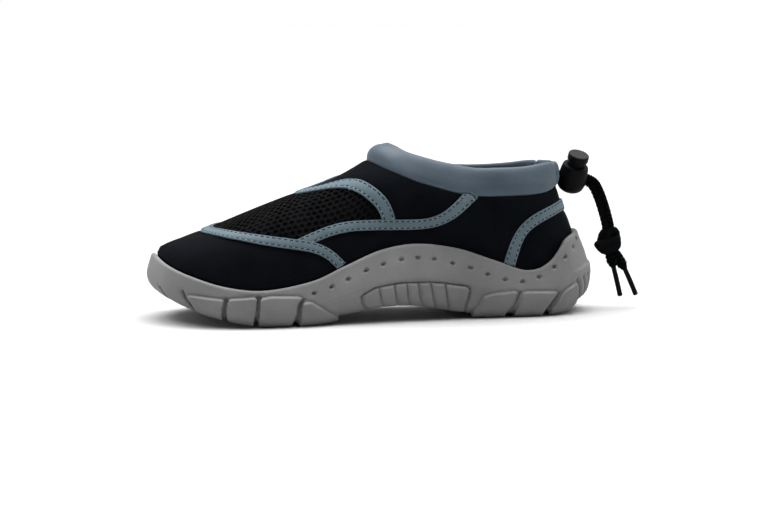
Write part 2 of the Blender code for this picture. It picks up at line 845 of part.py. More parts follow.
def placed(obj, matrix):
    obj.matrix_world = matrix
    return obj


SLOT_WIDTH = CORD_DIAMETER + 2 * RUNNING_GAP
SLOT_HEIGHT = 2 * CORD_DIAMETER + 3 * RUNNING_GAP


def add_lock(finish):
    """The barrel: a bell-shaped body with a bore for the plunger and a slot for the cord."""
    half = LOCK_HEIGHT / 2
    bore = PLUNGER_RADIUS + RUNNING_GAP
    outside = [
        (0.0, -half),
        (0.62 * LOCK_RADIUS, -0.96 * half),
        (0.90 * LOCK_RADIUS, -0.72 * half),
        (LOCK_RADIUS, -0.32 * half),
        (0.97 * LOCK_RADIUS, 0.10 * half),
        (0.86 * LOCK_RADIUS, 0.60 * half),
        (0.80 * LOCK_RADIUS, 0.93 * half),
        (0.74 * LOCK_RADIUS, half),
    ]
    inside = [(bore, half), (bore, BORE_FLOOR), (0.0, BORE_FLOOR)]
    barrel = placed(turned("cord_lock_barrel", outside + inside, finish), lock_matrix())
    slot = box(
        "lock_slot",
        (-1.5 * LOCK_RADIUS, -SLOT_WIDTH / 2, -SLOT_HEIGHT / 2),
        (1.5 * LOCK_RADIUS, SLOT_WIDTH / 2, SLOT_HEIGHT / 2),
        finish,
    )
    combine(barrel, placed(slot, lock_matrix()), "DIFFERENCE")
    return barrel


def add_plunger(finish):
    """The plunger: a stem with a slot for the cord, and a round cap above the barrel."""
    half = LOCK_HEIGHT / 2
    foot = BORE_FLOOR + PLUNGER_TRAVEL + 2 * RUNNING_GAP
    under_cap = half + PLUNGER_TRAVEL + RUNNING_GAP
    top = under_cap + CAP_THICKNESS
    profile = [
        (0.0, foot),
        (PLUNGER_RADIUS, foot),
        (PLUNGER_RADIUS, under_cap),
        (CAP_RADIUS - 0.0005, under_cap),
        (CAP_RADIUS, under_cap + 0.0006),
        (CAP_RADIUS, top - 0.0010),
        (CAP_RADIUS - 0.0009, top),
        (0.0, top),
    ]
    plunger = placed(turned("cord_lock_plunger", profile, finish), lock_matrix())
    slot = box(
        "plunger_slot",
        (-2 * PLUNGER_RADIUS, -SLOT_WIDTH / 2, -SLOT_HEIGHT / 2),
        (2 * PLUNGER_RADIUS, SLOT_WIDTH / 2, SLOT_HEIGHT / 2 + PLUNGER_TRAVEL + RUNNING_GAP),
        finish,
    )
    combine(plunger, placed(slot, lock_matrix()), "DIFFERENCE")
    return plunger


# Drawcord, along points chosen by hand from the lock's centre


def from_lock(place):
    return np.array(LOCK_CENTRE) + np.array(place)


def smooth_route(route, count):
    values = np.array(route, float)
    return [on_strip(values, (len(values) - 1) * index / (count - 1)) for index in range(count)]


def add_cord(name, route, diameter, count, finish):
    curve = bpy.data.curves.new(name, "CURVE")
    curve.dimensions = "3D"
    curve.bevel_depth = diameter / 2
    curve.bevel_resolution = 2
    curve.use_fill_caps = True
    spline = curve.splines.new("POLY")
    points = smooth_route(route, count)
    spline.points.add(len(points) - 1)
    for point, place in zip(spline.points, points):
        point.co = (*place, 1.0)
    obj = bpy.data.objects.new(name, curve)
    bpy.context.scene.collection.objects.link(obj)
    curve.materials.append(finish)
    return obj


STRAND_REACHES = (-0.0076, -0.004, 0.0, 0.004, 0.0088)


class StrandRow(NamedTuple):
    x: float
    y: float
    z: float
    aside_x: float  # the way from the lower strand to the upper one
    aside_z: float


STRAND_TAIL = [
    StrandRow(-0.0131, 0.0005, -0.0038, -0.75, 0.66),
    StrandRow(-0.0161, 0.0010, -0.0093, -0.90, 0.43),
    StrandRow(-0.0183, 0.0015, -0.0153, -0.95, 0.30),
    StrandRow(-0.0202, 0.0020, -0.0216, -0.97, 0.24),
    StrandRow(-0.0219, 0.0025, -0.0289, -1.00, 0.00),
]


def strand_route(lift):
    """One of the two strands, above or below the other inside the lock."""
    axis, through, _ = lock_frame()
    spacing = (CORD_DIAMETER + RUNNING_GAP) / 2
    inside = [from_lock(axis * lift * spacing + through * reach) for reach in STRAND_REACHES]
    tail = [from_lock(row[:3]) + spacing * lift * unit(np.array((row[3], 0.0, row[4]))) for row in STRAND_TAIL]
    return inside + tail


def add_knot(finish, levels=8, sides=14):
    centre, size = from_lock(KNOT_OFFSET), np.array(KNOT_SIZE)
    rings = []
    for level in range(levels + 1):
        rise = math.pi * level / levels
        turns = [2 * math.pi * side / sides for side in range(sides)]
        ring = [(math.sin(rise) * math.cos(t), math.sin(rise) * math.sin(t), -math.cos(rise)) for t in turns]
        rings.append([centre + size * point for point in ring])
    return add_mesh("drawcord_knot", *lofted(rings, capped=False), finish)


END_ROUTES = {
    "drawcord_end_front": [(-0.0238, 0.0029, -0.0474), (-0.0246, 0.0031, -0.0508), (-0.0255, 0.0033, -0.0538)],
    "drawcord_end_back": [(-0.0272, 0.0017, -0.0461), (-0.0302, 0.0015, -0.0507), (-0.0330, 0.0015, -0.0552)],
}
TIP_ROUTES = {
    "drawcord_tip_front": [(-0.0256, 0.0033, -0.0542), (-0.0279, 0.0035, -0.0633), (-0.0300, 0.0035, -0.0720)],
    "drawcord_tip_back": [(-0.0333, 0.0015, -0.0556), (-0.0371, 0.0015, -0.0638), (-0.0406, 0.0015, -0.0718)],
}


def main():
    clear_scene()
    rubber = material("grey_rubber", (0.26, 0.255, 0.25), 0.62)
    cloth = material("black_stretch_cloth", (0.012, 0.014, 0.020), 0.8)
    strip = material("blue_grey_strip", (0.15, 0.23, 0.29), 0.7)
    satin = material("blue_grey_stretch", (0.20, 0.31, 0.39), 0.5)
    foam = material("dark_foam", (0.03, 0.03, 0.032), 0.9)
    plastic = material("black_plastic", (0.015, 0.015, 0.016), 0.45)
    cord = material("black_cord", (0.010, 0.010, 0.011), 0.85)

    add_outsole(rubber)
    add_insole(foam)
    add_upper(cloth)
    add_collar(satin)
    side_path = band_path(SIDE_BAND)
    add_band("toe_band", across_foot(band_path(TOE_BAND)), strip)
    add_band("side_band_outer", side_path, strip)
    add_band("side_band_inner", on_other_side(side_path), strip)
    add_band("instep_band", across_foot(band_path(INSTEP_BAND)), strip)
    add_band("heel_band", across_foot(band_path(HEEL_BAND)), strip)
    add_lock(plastic)
    add_plunger(plastic)
    add_cord("drawcord_upper", strand_route(1), CORD_DIAMETER, 24, cord)
    add_cord("drawcord_lower", strand_route(-1), CORD_DIAMETER, 24, cord)
    add_knot(cord)
    for name, route in END_ROUTES.items():
        add_cord(name, [from_lock(place) for place in route], CORD_DIAMETER, 4, cord)
    for name, route in TIP_ROUTES.items():
        add_cord(name, [from_lock(place) for place in route], TIP_DIAMETER, 5, cord)


main()
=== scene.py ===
"""The looks of the water shoe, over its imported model.

X runs forward to the toe, Y to the left (the outer side of this foot) and Z up, in metres.
The tables of the last are the solids' own; the pieces here follow them with finer meshes.
"""

import math
from typing import NamedTuple

import bmesh
import bpy
import numpy as np
from mathutils import Matrix, Vector


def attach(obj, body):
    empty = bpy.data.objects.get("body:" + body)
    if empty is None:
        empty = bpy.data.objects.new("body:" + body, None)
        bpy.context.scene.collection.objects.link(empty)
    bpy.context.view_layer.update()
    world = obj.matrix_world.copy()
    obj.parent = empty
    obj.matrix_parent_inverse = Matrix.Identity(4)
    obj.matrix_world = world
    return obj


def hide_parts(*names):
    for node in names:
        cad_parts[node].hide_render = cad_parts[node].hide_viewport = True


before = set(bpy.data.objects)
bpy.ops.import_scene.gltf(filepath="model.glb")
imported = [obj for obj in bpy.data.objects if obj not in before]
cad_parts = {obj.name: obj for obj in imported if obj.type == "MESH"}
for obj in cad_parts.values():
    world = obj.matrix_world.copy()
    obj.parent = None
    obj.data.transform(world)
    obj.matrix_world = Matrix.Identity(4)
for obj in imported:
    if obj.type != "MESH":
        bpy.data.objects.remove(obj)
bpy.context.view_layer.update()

# Sole
SOLE_LENGTH = 0.266
BALL_WIDTH = 0.099
WAIST_WIDTH = 0.072
HEEL_WIDTH = 0.070
SOLE_THICKNESS = 0.0085
TREAD_DEPTH = 0.0022
LUG_RELIEF = 0.0012
RIM_WALL = 0.0026
CUP_INSET = 0.0085
EDGE_INSET = 0.0065
HEEL_RIM = 0.0487
HEEL_SIDE_RIM = 0.0279
WAIST_RIM = 0.045
BALL_RIM = 0.0216
TOE_RIM = 0.0386
TOE_SPRING = 0.0165
ARCH_RISE = 0.0064
HEEL_BEVEL = 0.0055

# Upper, collar and insole
UPPER_WALL = 0.0022
INSTEP_HEIGHT = 0.0910
COLLAR_DIP = 0.0711
HEEL_HEIGHT = 0.0765
TOE_HEIGHT = 0.0440
OPENING_WIDTH = 0.066
BAND_WIDTH = 0.0060
COLLAR_BAND = 0.0172
COLLAR_THICKNESS = 0.0056
COLLAR_END = 0.09
INSOLE_THICKNESS = 0.0032

# Drawcord and its lock
CORD_DIAMETER = 0.0031
TIP_DIAMETER = 0.0026
LOCK_HEIGHT = 0.0178
LOCK_RADIUS = 0.0084
PLUNGER_RADIUS = 0.0046
CAP_RADIUS = 0.0063
CAP_THICKNESS = 0.0046
PLUNGER_TRAVEL = 0.0027
LOCK_CENTRE = (-0.1224, 0.0005, 0.0788)
LOCK_LEAN_BACK = 8.0
LOCK_LEAN_OUT = 24.0
KNOT_CENTRE = (-0.1445, 0.0030, 0.0405)

# Clearances
GAP = 0.0003
CUP_GAP = 0.0005
RUNNING_GAP = 0.00035

MM = 0.001
UP = np.array((0.0, 0.0, 1.0))


# The last


class SoleRow(NamedTuple):
    along: float  # from the heel end, share of the sole's length
    lateral: float  # from the centre line to the widest line, outer side
    medial: float  # the same, inner side
    rim_lateral: float  # height of the rim, outer side
    rim_medial: float  # height of the rim, inner side
    ground: float  # height of the tread's face
    lean: float  # how far the rim stands inside the widest line


def sole_rows():
    ball, waist, heel = BALL_WIDTH, WAIST_WIDTH, HEEL_WIDTH
    back, side, arch, low, toe = HEEL_RIM, HEEL_SIDE_RIM, WAIST_RIM, BALL_RIM, TOE_RIM
    return [
        SoleRow(0.000, -0.015 * heel, 0.015 * heel, back, back, HEEL_BEVEL, 0.0080),
        SoleRow(0.018, 0.225 * heel, 0.245 * heel, 0.975 * back, 0.965 * back, 0.85 * HEEL_BEVEL, 0.0078),
        SoleRow(0.062, 0.390 * heel, 0.400 * heel, 0.91 * back, 0.90 * back, 0.30 * HEEL_BEVEL, 0.0062),
        SoleRow(0.118, 0.474 * heel, 0.471 * heel, 1.14 * side, 1.17 * side, 0.0, 0.0036),
        SoleRow(0.175, 0.500 * heel, 0.489 * heel, side, 1.03 * side, 0.0, 0.0026),
        SoleRow(0.250, 0.510 * heel, 0.486 * heel, 0.765 * arch, 0.75 * arch, 0.0, 0.0030),
        SoleRow(0.330, 0.514 * waist, 0.451 * waist, 0.925 * arch, 0.89 * arch, 0.30 * ARCH_RISE, 0.0042),
        SoleRow(0.420, 0.542 * waist, 0.437 * waist, arch, 0.955 * arch, 0.95 * ARCH_RISE, 0.0052),
        SoleRow(0.500, 0.576 * waist, 0.458 * waist, 0.94 * arch, 0.92 * arch, ARCH_RISE, 0.0052),
        SoleRow(0.580, 0.450 * ball, 0.379 * ball, 0.762 * arch, 0.775 * arch, 0.52 * ARCH_RISE, 0.0044),
        SoleRow(0.660, 0.481 * ball, 0.439 * ball, 1.20 * low, 1.25 * low, 0.0, 0.0034),
        SoleRow(0.765, 0.500 * ball, 0.495 * ball, low, 1.02 * low, 0.0, 0.0024),
        SoleRow(0.850, 0.460 * ball, 0.487 * ball, 1.09 * low, 1.11 * low, 0.22 * TOE_SPRING, 0.0018),
        SoleRow(0.925, 0.350 * ball, 0.409 * ball, 0.752 * toe, 0.765 * toe, 0.53 * TOE_SPRING, 0.0018),
        SoleRow(0.975, 0.187 * ball, 0.268 * ball, 0.887 * toe, 0.895 * toe, 0.80 * TOE_SPRING, 0.0022),
        SoleRow(1.000, -0.050 * ball, 0.050 * ball, toe, toe, TOE_SPRING, 0.0034),
    ]


class ShapeRow(NamedTuple):
    start_lean: float  # degrees from upright where the section leaves the rim
    end_lean: float  # degrees from upright where it meets the top line
    sweep: float  # degrees that the end turns along the ridge
    start_pull: float  # handle at the rim, share of the chord
    end_pull: float  # handle at the top line, share of the chord


SHAPE_ROWS = [
    ShapeRow(16, 32, 0, 0.33, 0.33),
    ShapeRow(14, 22, 0, 0.33, 0.33),
    ShapeRow(8, 15, 0, 0.33, 0.33),
    ShapeRow(3, 10, 0, 0.33, 0.33),
    ShapeRow(2, 9, 0, 0.33, 0.33),
    ShapeRow(4, 12, 0, 0.33, 0.33),
    ShapeRow(6, 20, 0, 0.33, 0.33),
    ShapeRow(7, 30, 10, 0.35, 0.34),
    ShapeRow(8, 44, 24, 0.38, 0.34),
    ShapeRow(8, 60, 38, 0.42, 0.38),
    ShapeRow(8, 90, 24, 0.45, 0.42),
    ShapeRow(9, 90, 22, 0.46, 0.45),
    ShapeRow(10, 90, 24, 0.44, 0.45),
    ShapeRow(13, 90, 32, 0.42, 0.42),
    ShapeRow(20, 90, 50, 0.38, 0.38),
    ShapeRow(34, 90, 90, 0.40, 0.42),
]


class CollarRow(NamedTuple):
    along: float  # lower edge of the collar, share of the sole's length from the heel end
    lateral: float  # half of the opening, outer side, share of its width
    medial: float  # the same, inner side
    height: float  # of the lower edge, outer side
    inner_height: float  # the same, inner side
    tilt: float  # degrees that the band leans in over the foot
    band: float  # width of the band, share of the full width


def collar_rows():
    dip, instep, back = COLLAR_DIP, INSTEP_HEIGHT, HEEL_HEIGHT
    return [
        CollarRow(0.0805, -0.015, 0.015, back, back, 2, 0.74),
        CollarRow(0.089, 0.195, 0.225, 0.99 * back, 0.98 * back, 4, 0.80),
        CollarRow(0.120, 0.365, 0.385, 1.022 * dip, 1.00 * dip, 8, 1.0),
        CollarRow(0.169, 0.455, 0.465, 1.004 * dip, 0.98 * dip, 12, 1.0),
        CollarRow(0.228, 0.500, 0.500, dip, 0.975 * dip, 15, 1.0),
        CollarRow(0.295, 0.508, 0.492, 1.009 * dip, 0.985 * dip, 18, 1.0),
        CollarRow(0.362, 0.490, 0.462, 1.06 * dip, 1.04 * dip, 22, 1.0),
        CollarRow(0.424, 0.440, 0.405, 0.885 * instep, 0.87 * instep, 30, 1.0),
        CollarRow(0.482, 0.325, 0.300, 0.955 * instep, 0.95 * instep, 42, 1.0),
        CollarRow(0.513, 0.0, 0.0, instep, instep, 50, 1.0),
    ]


class RidgeRow(NamedTuple):
    along: float  # share of the sole's length from the heel end
    across: float  # share of the ball's width, to the outer side
    height: float


def ridge_rows():
    rise = INSTEP_HEIGHT - TOE_HEIGHT
    return [
        RidgeRow(0.513, 0.000, INSTEP_HEIGHT),
        RidgeRow(0.597, -0.004, TOE_HEIGHT + 0.745 * rise),
        RidgeRow(0.690, -0.012, TOE_HEIGHT + 0.575 * rise - 0.9 * MM),
        RidgeRow(0.778, -0.024, TOE_HEIGHT + 0.385 * rise - 1.2 * MM),
        RidgeRow(0.855, -0.036, TOE_HEIGHT + 0.205 * rise - 1.2 * MM),
        RidgeRow(0.922, -0.045, TOE_HEIGHT + 0.085 * rise - 1.2 * MM),
        RidgeRow(0.965, -0.050, TOE_HEIGHT - 1.3 * MM),
    ]


TOE = len(SHAPE_ROWS) - 1  # the toe's station; the medial stations follow it back to the heel
LOOP = 2 * TOE
THROAT = 9  # the station whose section ends at the front of the opening
TURN_ROWS = 2.0  # rows behind the throat over which the sections turn to cross the ridge


def catmull_rom(before, start, end, after, share):
    return 0.5 * (
        2 * start
        + (end - before) * share
        + (2 * before - 5 * start + 4 * end - after) * share**2
        + (3 * start - before - 3 * end + after) * share**3
    )


def on_ring(values, place):
    """Smooth values at these places of a closed loop of rows."""
    place = np.asarray(place, float)
    index = np.floor(place).astype(int)
    rows = [values[(index + step) % len(values)] for step in (-1, 0, 1, 2)]
    return catmull_rom(*rows, (place - index)[..., None])


def on_strip(values, place):
    """Smooth values at these places of an open run of rows."""
    values = np.asarray(values, float)
    longer = np.vstack((2 * values[0] - values[1], values, 2 * values[-1] - values[-2]))
    place = np.clip(np.asarray(place, float), 0, len(values) - 1)
    index = np.minimum(place.astype(int), len(values) - 2)
    rows = [longer[index + step] for step in range(4)]
    return catmull_rom(*rows, (place - index)[..., None])


def from_heel(share):
    return (share - 0.5) * SOLE_LENGTH


def sole_ring():
    rows = sole_rows()
    outer = [(from_heel(r.along), r.lateral, r.rim_lateral, r.ground, r.lean) for r in rows]
    inner = [(from_heel(r.along), -r.medial, r.rim_medial, r.ground, r.lean) for r in rows]
    return np.array(outer + inner[-2:0:-1])


def collar_ring():
    rows = collar_rows()
    outer = [(from_heel(r.along), r.lateral * OPENING_WIDTH, r.height, r.tilt, r.band) for r in rows]
    inner = [(from_heel(r.along), -r.medial * OPENING_WIDTH, r.inner_height, r.tilt, r.band) for r in rows]
    return np.array(outer + inner[-2:0:-1])


SOLE_RING = sole_ring()
COLLAR_RING = collar_ring()
SHAPE_STRIP = np.array(SHAPE_ROWS, float)
RIDGE_STRIP = np.array([(from_heel(r.along), r.across * BALL_WIDTH, r.height) for r in ridge_rows()])


def unit(vectors):
    return vectors / np.linalg.norm(vectors, axis=-1, keepdims=True)


def upright(vector, axis):
    """The unit vector nearest to this one that stands square to the axis."""
    return unit(vector - axis * np.dot(vector, axis))


def smooth_step(low, high, value):
    share = np.clip((value - low) / (high - low), 0.0, 1.0)
    return share * share * (3 - 2 * share)


def hump(value, width):
    """1 where the value is 0, falling smoothly to 0 about two widths away."""
    return np.exp(-((value / width) ** 2))


def squared(wave, power):
    """A sine or cosine made fuller, so that a round section nears a square one."""
    return np.sign(wave) * np.abs(wave) ** power


def full_turn(count):
    """Evenly spaced angles once round."""
    return np.linspace(0, 2 * math.pi, count + 1)[:-1]


def row_of(station):
    """The row that a station of the loop shares with its twin on the other side."""
    station = np.asarray(station, float) % LOOP
    return np.where(station <= TOE, station, LOOP - station)


def stations_on(side, rows):
    """Stations of these rows: on the outer side for 1, on the inner side for -1."""
    return rows if side > 0 else LOOP - rows


def inward(ring, place, step=0.05):
    """Level direction from a closed loop towards its inside."""
    place = np.asarray(place, float)
    along = on_ring(ring, place + step)[..., :2] - on_ring(ring, place - step)[..., :2]
    return unit(np.stack((along[..., 1], -along[..., 0], np.zeros_like(place)), -1))


class Wall(NamedTuple):
    base: np.ndarray  # widest points of the sole, at height 0
    inward: np.ndarray
    rim: np.ndarray
    ground: np.ndarray
    lean: np.ndarray


def wall_at(station):
    station = np.asarray(station, float) % LOOP
    values = on_ring(SOLE_RING, station)
    base = values[..., :2]
    base = np.concatenate((base, np.zeros_like(base[..., :1])), -1)
    ground = np.maximum(values[..., 3], 0.0)
    return Wall(base, inward(SOLE_RING, station), values[..., 2], ground, values[..., 4])


def wall_point(wall, inset, height):
    inset, height = np.asarray(inset, float), np.asarray(height, float)
    return wall.base + wall.inward * inset[..., None] + UP * height[..., None]


def floor_height(wall):
    return wall.ground + SOLE_THICKNESS


def rim_seat(wall):
    """Inset of the cup's inner face at the rim."""
    return wall.lean + RIM_WALL


def collar_place(station):
    station = np.asarray(station, float) % LOOP
    return np.where(station <= TOE, station, station - LOOP)


def top_point(station):
    row = row_of(station)
    collar = on_ring(COLLAR_RING, collar_place(station))[..., :3]
    ridge = on_strip(RIDGE_STRIP, row - THROAT)
    return np.where((row <= THROAT)[..., None], collar, ridge)


def end_direction(station):
    """The way that a section runs as it meets the top line."""
    station = np.asarray(station, float)
    row = row_of(station)
    shape = on_strip(SHAPE_STRIP, row)
    lean, sweep = np.radians(shape[..., 1:2]), np.radians(shape[..., 2:3])
    place = np.maximum(row - THROAT, 0.0)
    back = unit(on_strip(RIDGE_STRIP, place - 0.1) - on_strip(RIDGE_STRIP, place + 0.1))
    side = np.where(station % LOOP <= TOE, 1.0, -1.0)[..., None]
    along_ridge = np.cos(sweep) * -side * np.array((0.0, 1.0, 0.0)) + np.sin(sweep) * back
    into = inward(COLLAR_RING, collar_place(station))
    to_collar = np.cos(lean) * UP + np.sin(lean) * into
    turn = smooth_step(-TURN_ROWS, 0.0, row - THROAT)[..., None]
    turned = unit(to_collar * (1 - turn) + along_ridge * turn)
    return np.where((row >= THROAT)[..., None], along_ridge, turned)


def upper_point(station, height):
    """Outer face of the upper: height -1 at the floor of the cup, 0 at the rim, 1 at the top line.

    Ahead of the throat a height over 1 carries on down the other side.
    """
    station, height = np.broadcast_arrays(np.asarray(station, float), np.asarray(height, float))
    over = (height > 1) & (row_of(station) >= THROAT)
    station = np.where(over, LOOP - station, station)
    height = np.where(over, 2 - height, height)
    wall = wall_at(station)
    rim = wall_point(wall, rim_seat(wall) + CUP_GAP, wall.rim)
    foot = wall_point(wall, np.full_like(wall.rim, CUP_INSET + CUP_GAP), floor_height(wall) + GAP)
    shape = on_strip(SHAPE_STRIP, row_of(station))
    top = top_point(station)
    chord = np.linalg.norm(top - rim, axis=-1, keepdims=True)
    lean = np.radians(shape[..., 0:1])
    start = rim + shape[..., 3:4] * chord * (np.cos(lean) * UP + np.sin(lean) * wall.inward)
    end = top - shape[..., 4:5] * chord * end_direction(station)
    share = np.maximum(height, 0.0)[..., None]
    rest = 1 - share
    above = rest**3 * rim + 3 * rest**2 * share * start + 3 * rest * share**2 * end + share**3 * top
    below = rim + (foot - rim) * -height[..., None]
    return np.where((height < 0)[..., None], below, above)


def upper_normal(station, height, step=0.02):
    """Outward unit normals of the upper's outer face."""
    station, height = np.broadcast_arrays(np.asarray(station, float), np.asarray(height, float))
    crosses = row_of(station) >= THROAT
    high = np.where(crosses, height + step, np.minimum(height + step, 1.0))
    low = np.where(height < 0, -1.0, np.maximum(height - step, 0.0))
    high = np.where(height < 0, -0.5, high)
    along = upper_point(station + step, height) - upper_point(station - step, height)
    rising = upper_point(station, high) - upper_point(station, low)
    return unit(np.cross(rising, along))


def on_upper(station, height, lift):
    lift = np.asarray(lift, float)
    return upper_point(station, height) + lift[..., None] * upper_normal(station, height)


# Mesh helpers


def grid_faces(rows, columns, wrap_rows=False, wrap_columns=False):
    """Quads of a grid whose points are numbered row by row."""
    down = np.arange(rows if wrap_rows else rows - 1)
    over = np.arange(columns if wrap_columns else columns - 1)
    row, column = (part.ravel() for part in np.meshgrid(down, over, indexing="ij"))
    next_row, next_column = (row + 1) % rows, (column + 1) % columns
    corners = (row * columns + column, row * columns + next_column)
    corners += (next_row * columns + next_column, next_row * columns + column)
    return np.stack(corners, -1)


def tube_faces(rings, first=0):
    """Faces of a closed tube made of rings of points, with both ends capped."""
    count, around = rings.shape[:2]
    faces = list(first + grid_faces(count, around, wrap_columns=True))
    return faces + [first + np.arange(around), first + (count - 1) * around + np.arange(around)]


def add_object(name, data):
    made = bpy.data.objects.new(name, data)
    bpy.context.scene.collection.objects.link(made)
    return made


def make_piece(name, points, faces, finishes, uvs=None, weld=1e-6, sharp=40.0, slots=None, body="shoe"):
    """One object from points and faces, with doubled points joined and the faces turned out."""
    shape = bmesh.new()
    verts = [shape.verts.new(point) for point in np.asarray(points).reshape(-1, 3)]
    uv_layer = shape.loops.layers.uv.new("UVMap") if uvs is not None else None
    flat_uvs = np.asarray(uvs).reshape(-1, 2) if uvs is not None else None
    for number, face in enumerate(faces):
        corners = list(dict.fromkeys(int(corner) for corner in face))
        if len(corners) < 3:
            continue
        made = shape.faces.new([verts[corner] for corner in corners])
        made.smooth = True
        if slots is not None:
            made.material_index = int(slots[number])
        if uv_layer is not None:
            for loop, corner in zip(made.loops, corners):
                loop[uv_layer].uv = flat_uvs[corner]
    if weld:
        bmesh.ops.remove_doubles(shape, verts=shape.verts, dist=weld)
        bmesh.ops.dissolve_degenerate(shape, edges=shape.edges, dist=weld / 2)
    bmesh.ops.recalc_face_normals(shape, faces=shape.faces)
    mesh = bpy.data.meshes.new(name)
    shape.to_mesh(mesh)
    shape.free()
    mesh.set_sharp_from_angle(angle=math.radians(sharp))
    for finish in finishes if isinstance(finishes, (list, tuple)) else [finishes]:
        mesh.materials.append(finish)
    piece = add_object(name, mesh)
    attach(piece, body)
    return piece


def steps(start, end, most):
    """Evenly spaced values from start to end, no further apart than most."""
    count = max(1, math.ceil(abs(end - start) / most - 1e-9))
    return np.linspace(start, end, count + 1)


def arc_lengths(points):
    """Distance along a line of points, from its first point."""
    return np.concatenate(([0.0], np.cumsum(np.linalg.norm(np.diff(points, axis=0), axis=1))))


def evened(values, points, spacing):
    """Rows of values that belong to a line's points, taken at an even spacing along it."""
    return np.stack([even_places(points, column, spacing) for column in values.T], -1)


def even_places(points, places, spacing):
    """Places at an even spacing along a line that is given by points at known places."""
    lengths = arc_lengths(points)
    wanted = steps(0.0, lengths[-1], spacing)
    return np.interp(wanted, lengths, places)


def frames_along(points, hint):
    """Tangent, side and up vectors along a line; the side turns as little as it can."""
    tangents = unit(np.gradient(points, axis=0))
    side = unit(np.cross(hint, tangents[0]))
    sides = []
    for tangent in tangents:
        side = upright(side, tangent)
        sides.append(side)
    sides = np.array(sides)
    return tangents, sides, np.cross(tangents, sides)


def noise(points, size, seed=0.0):
    """Smooth noise from -1 to 1, as a sum of slanted waves about this long."""
    total = np.zeros(points.shape[:-1])
    turn = seed
    for index in range(5):
        turn += 2.4
        way = unit(np.array((math.cos(turn), math.sin(turn), math.cos(1.7 * turn + index))))
        bend = 0.8 * np.sin(points @ np.roll(way, 1) / size * 3.1 + turn)
        total += np.sin(points @ way / size * (4.2 + 0.9 * index) + bend + 1.3 * turn)
    return total / 3.6


# Materials

RAMP_SOCKETS = ("From Min", "From Max", "To Min", "To Max")


class Finish:
    """A Principled material and short ways to add nodes to it."""

    def __init__(self, name, roughness, **sockets):
        self.material = bpy.data.materials.new(name)
        self.material.use_nodes = True
        self.tree = self.material.node_tree
        self.shader = self.tree.nodes["Principled BSDF"]
        self.shader.inputs["Roughness"].default_value = roughness
        for socket, value in sockets.items():
            self.shader.inputs[socket.replace("_", " ")].default_value = value
        self.place = self.node("ShaderNodeTexCoord").outputs["Object"]
        self.uv = self.node("ShaderNodeTexCoord").outputs["UV"]
        self.height = None

    def node(self, kind, **inputs):
        made = self.tree.nodes.new(kind)
        for name, value in inputs.items():
            self.put(made.inputs[name.replace("_", " ")], value)
        return made

    def put(self, socket, value):
        if isinstance(value, bpy.types.NodeSocket):
            self.tree.links.new(value, socket)
        else:
            socket.default_value = value

    def noise(self, scale, detail=3.0, softness=0.55):
        values = {"Scale": scale, "Detail": detail, "Roughness": softness}
        return self.node("ShaderNodeTexNoise", Vector=self.place, **values).outputs["Fac"]

    def cells(self, scale):
        return self.node("ShaderNodeTexVoronoi", Vector=self.place, Scale=scale).outputs["Distance"]

    def waves(self, scale, direction="X", distortion=0.0, place=None, detail_scale=1.0):
        made = self.node("ShaderNodeTexWave", Vector=place or self.uv, Scale=scale, Distortion=distortion)
        made.inputs["Detail Scale"].default_value = detail_scale
        made.bands_direction = direction
        return made.outputs["Fac"]

    def ramp(self, value, low, high, out_low=0.0, out_high=1.0):
        made = self.node("ShaderNodeMapRange", Value=value)
        for name, number in zip(RAMP_SOCKETS, (low, high, out_low, out_high)):
            made.inputs[name].default_value = number
        return made.outputs[0]

    def mix(self, share, first, second):
        made = self.node("ShaderNodeMix")
        made.data_type = "RGBA"
        self.put(made.inputs["Factor"], share)
        self.put(made.inputs["A"], first if isinstance(first, bpy.types.NodeSocket) else (*first, 1.0))
        self.put(made.inputs["B"], second if isinstance(second, bpy.types.NodeSocket) else (*second, 1.0))
        return made.outputs["Result"]

    def colour(self, value):
        self.put(self.shader.inputs["Base Color"], value)

    def roughness(self, value):
        self.put(self.shader.inputs["Roughness"], value)

    def clouds(self, scale, span, colours, gloss=None, detail=3.0, softness=0.55):
        """Colour, and roughness where gloss is given, that drift between two values in faint clouds."""
        drift = self.noise(scale, detail, softness)
        colour = self.mix(self.ramp(drift, *span), *colours)
        self.colour(colour)
        if gloss:
            self.roughness(self.ramp(drift, 0.3, 0.7, *gloss))
        return drift, colour

    def bump(self, height, distance, strength):
        """Adds relief; the height runs from 0 to 1 over this distance in metres."""
        made = self.node("ShaderNodeBump", Height=height, Distance=distance, Strength=strength)
        if self.height is not None:
            self.tree.links.new(self.height, made.inputs["Normal"])
        self.height = made.outputs["Normal"]
        self.put(self.shader.inputs["Normal"], self.height)


TREAD_PITCH = 1.9 * MM  # of the fine ribs on the tread's pads
RIB_SCALE = 0.444 / TREAD_PITCH  # the wave texture's scale that gives diagonal bands that far apart


def rubber_finish(name="moulded_rubber", ribbed=False):
    """Matt moulded rubber, warm grey, with faint clouds and fine pits, and ribs on the tread's pads."""
    made = Finish(name, 0.62, Specular_IOR_Level=0.35)
    greys = (0.152, 0.1515, 0.152), (0.194, 0.193, 0.194)
    _, base = made.clouds(38.0, (0.35, 0.68), greys, gloss=(0.56, 0.70), detail=4.0, softness=0.6)
    dust = made.ramp(made.noise(900.0, 2.0, 0.6), 0.62, 0.80, 0.0, 0.35)
    made.colour(made.mix(dust, base, (0.20, 0.199, 0.197)))
    made.bump(made.noise(2600.0, 2.0, 0.5), 0.00006, 0.6)
    made.bump(made.noise(300.0, 2.0, 0.5), 0.00010, 0.35)
    if ribbed:
        made.bump(made.waves(RIB_SCALE, "DIAGONAL", place=made.place), 0.0009, 1.0)
    return made.material


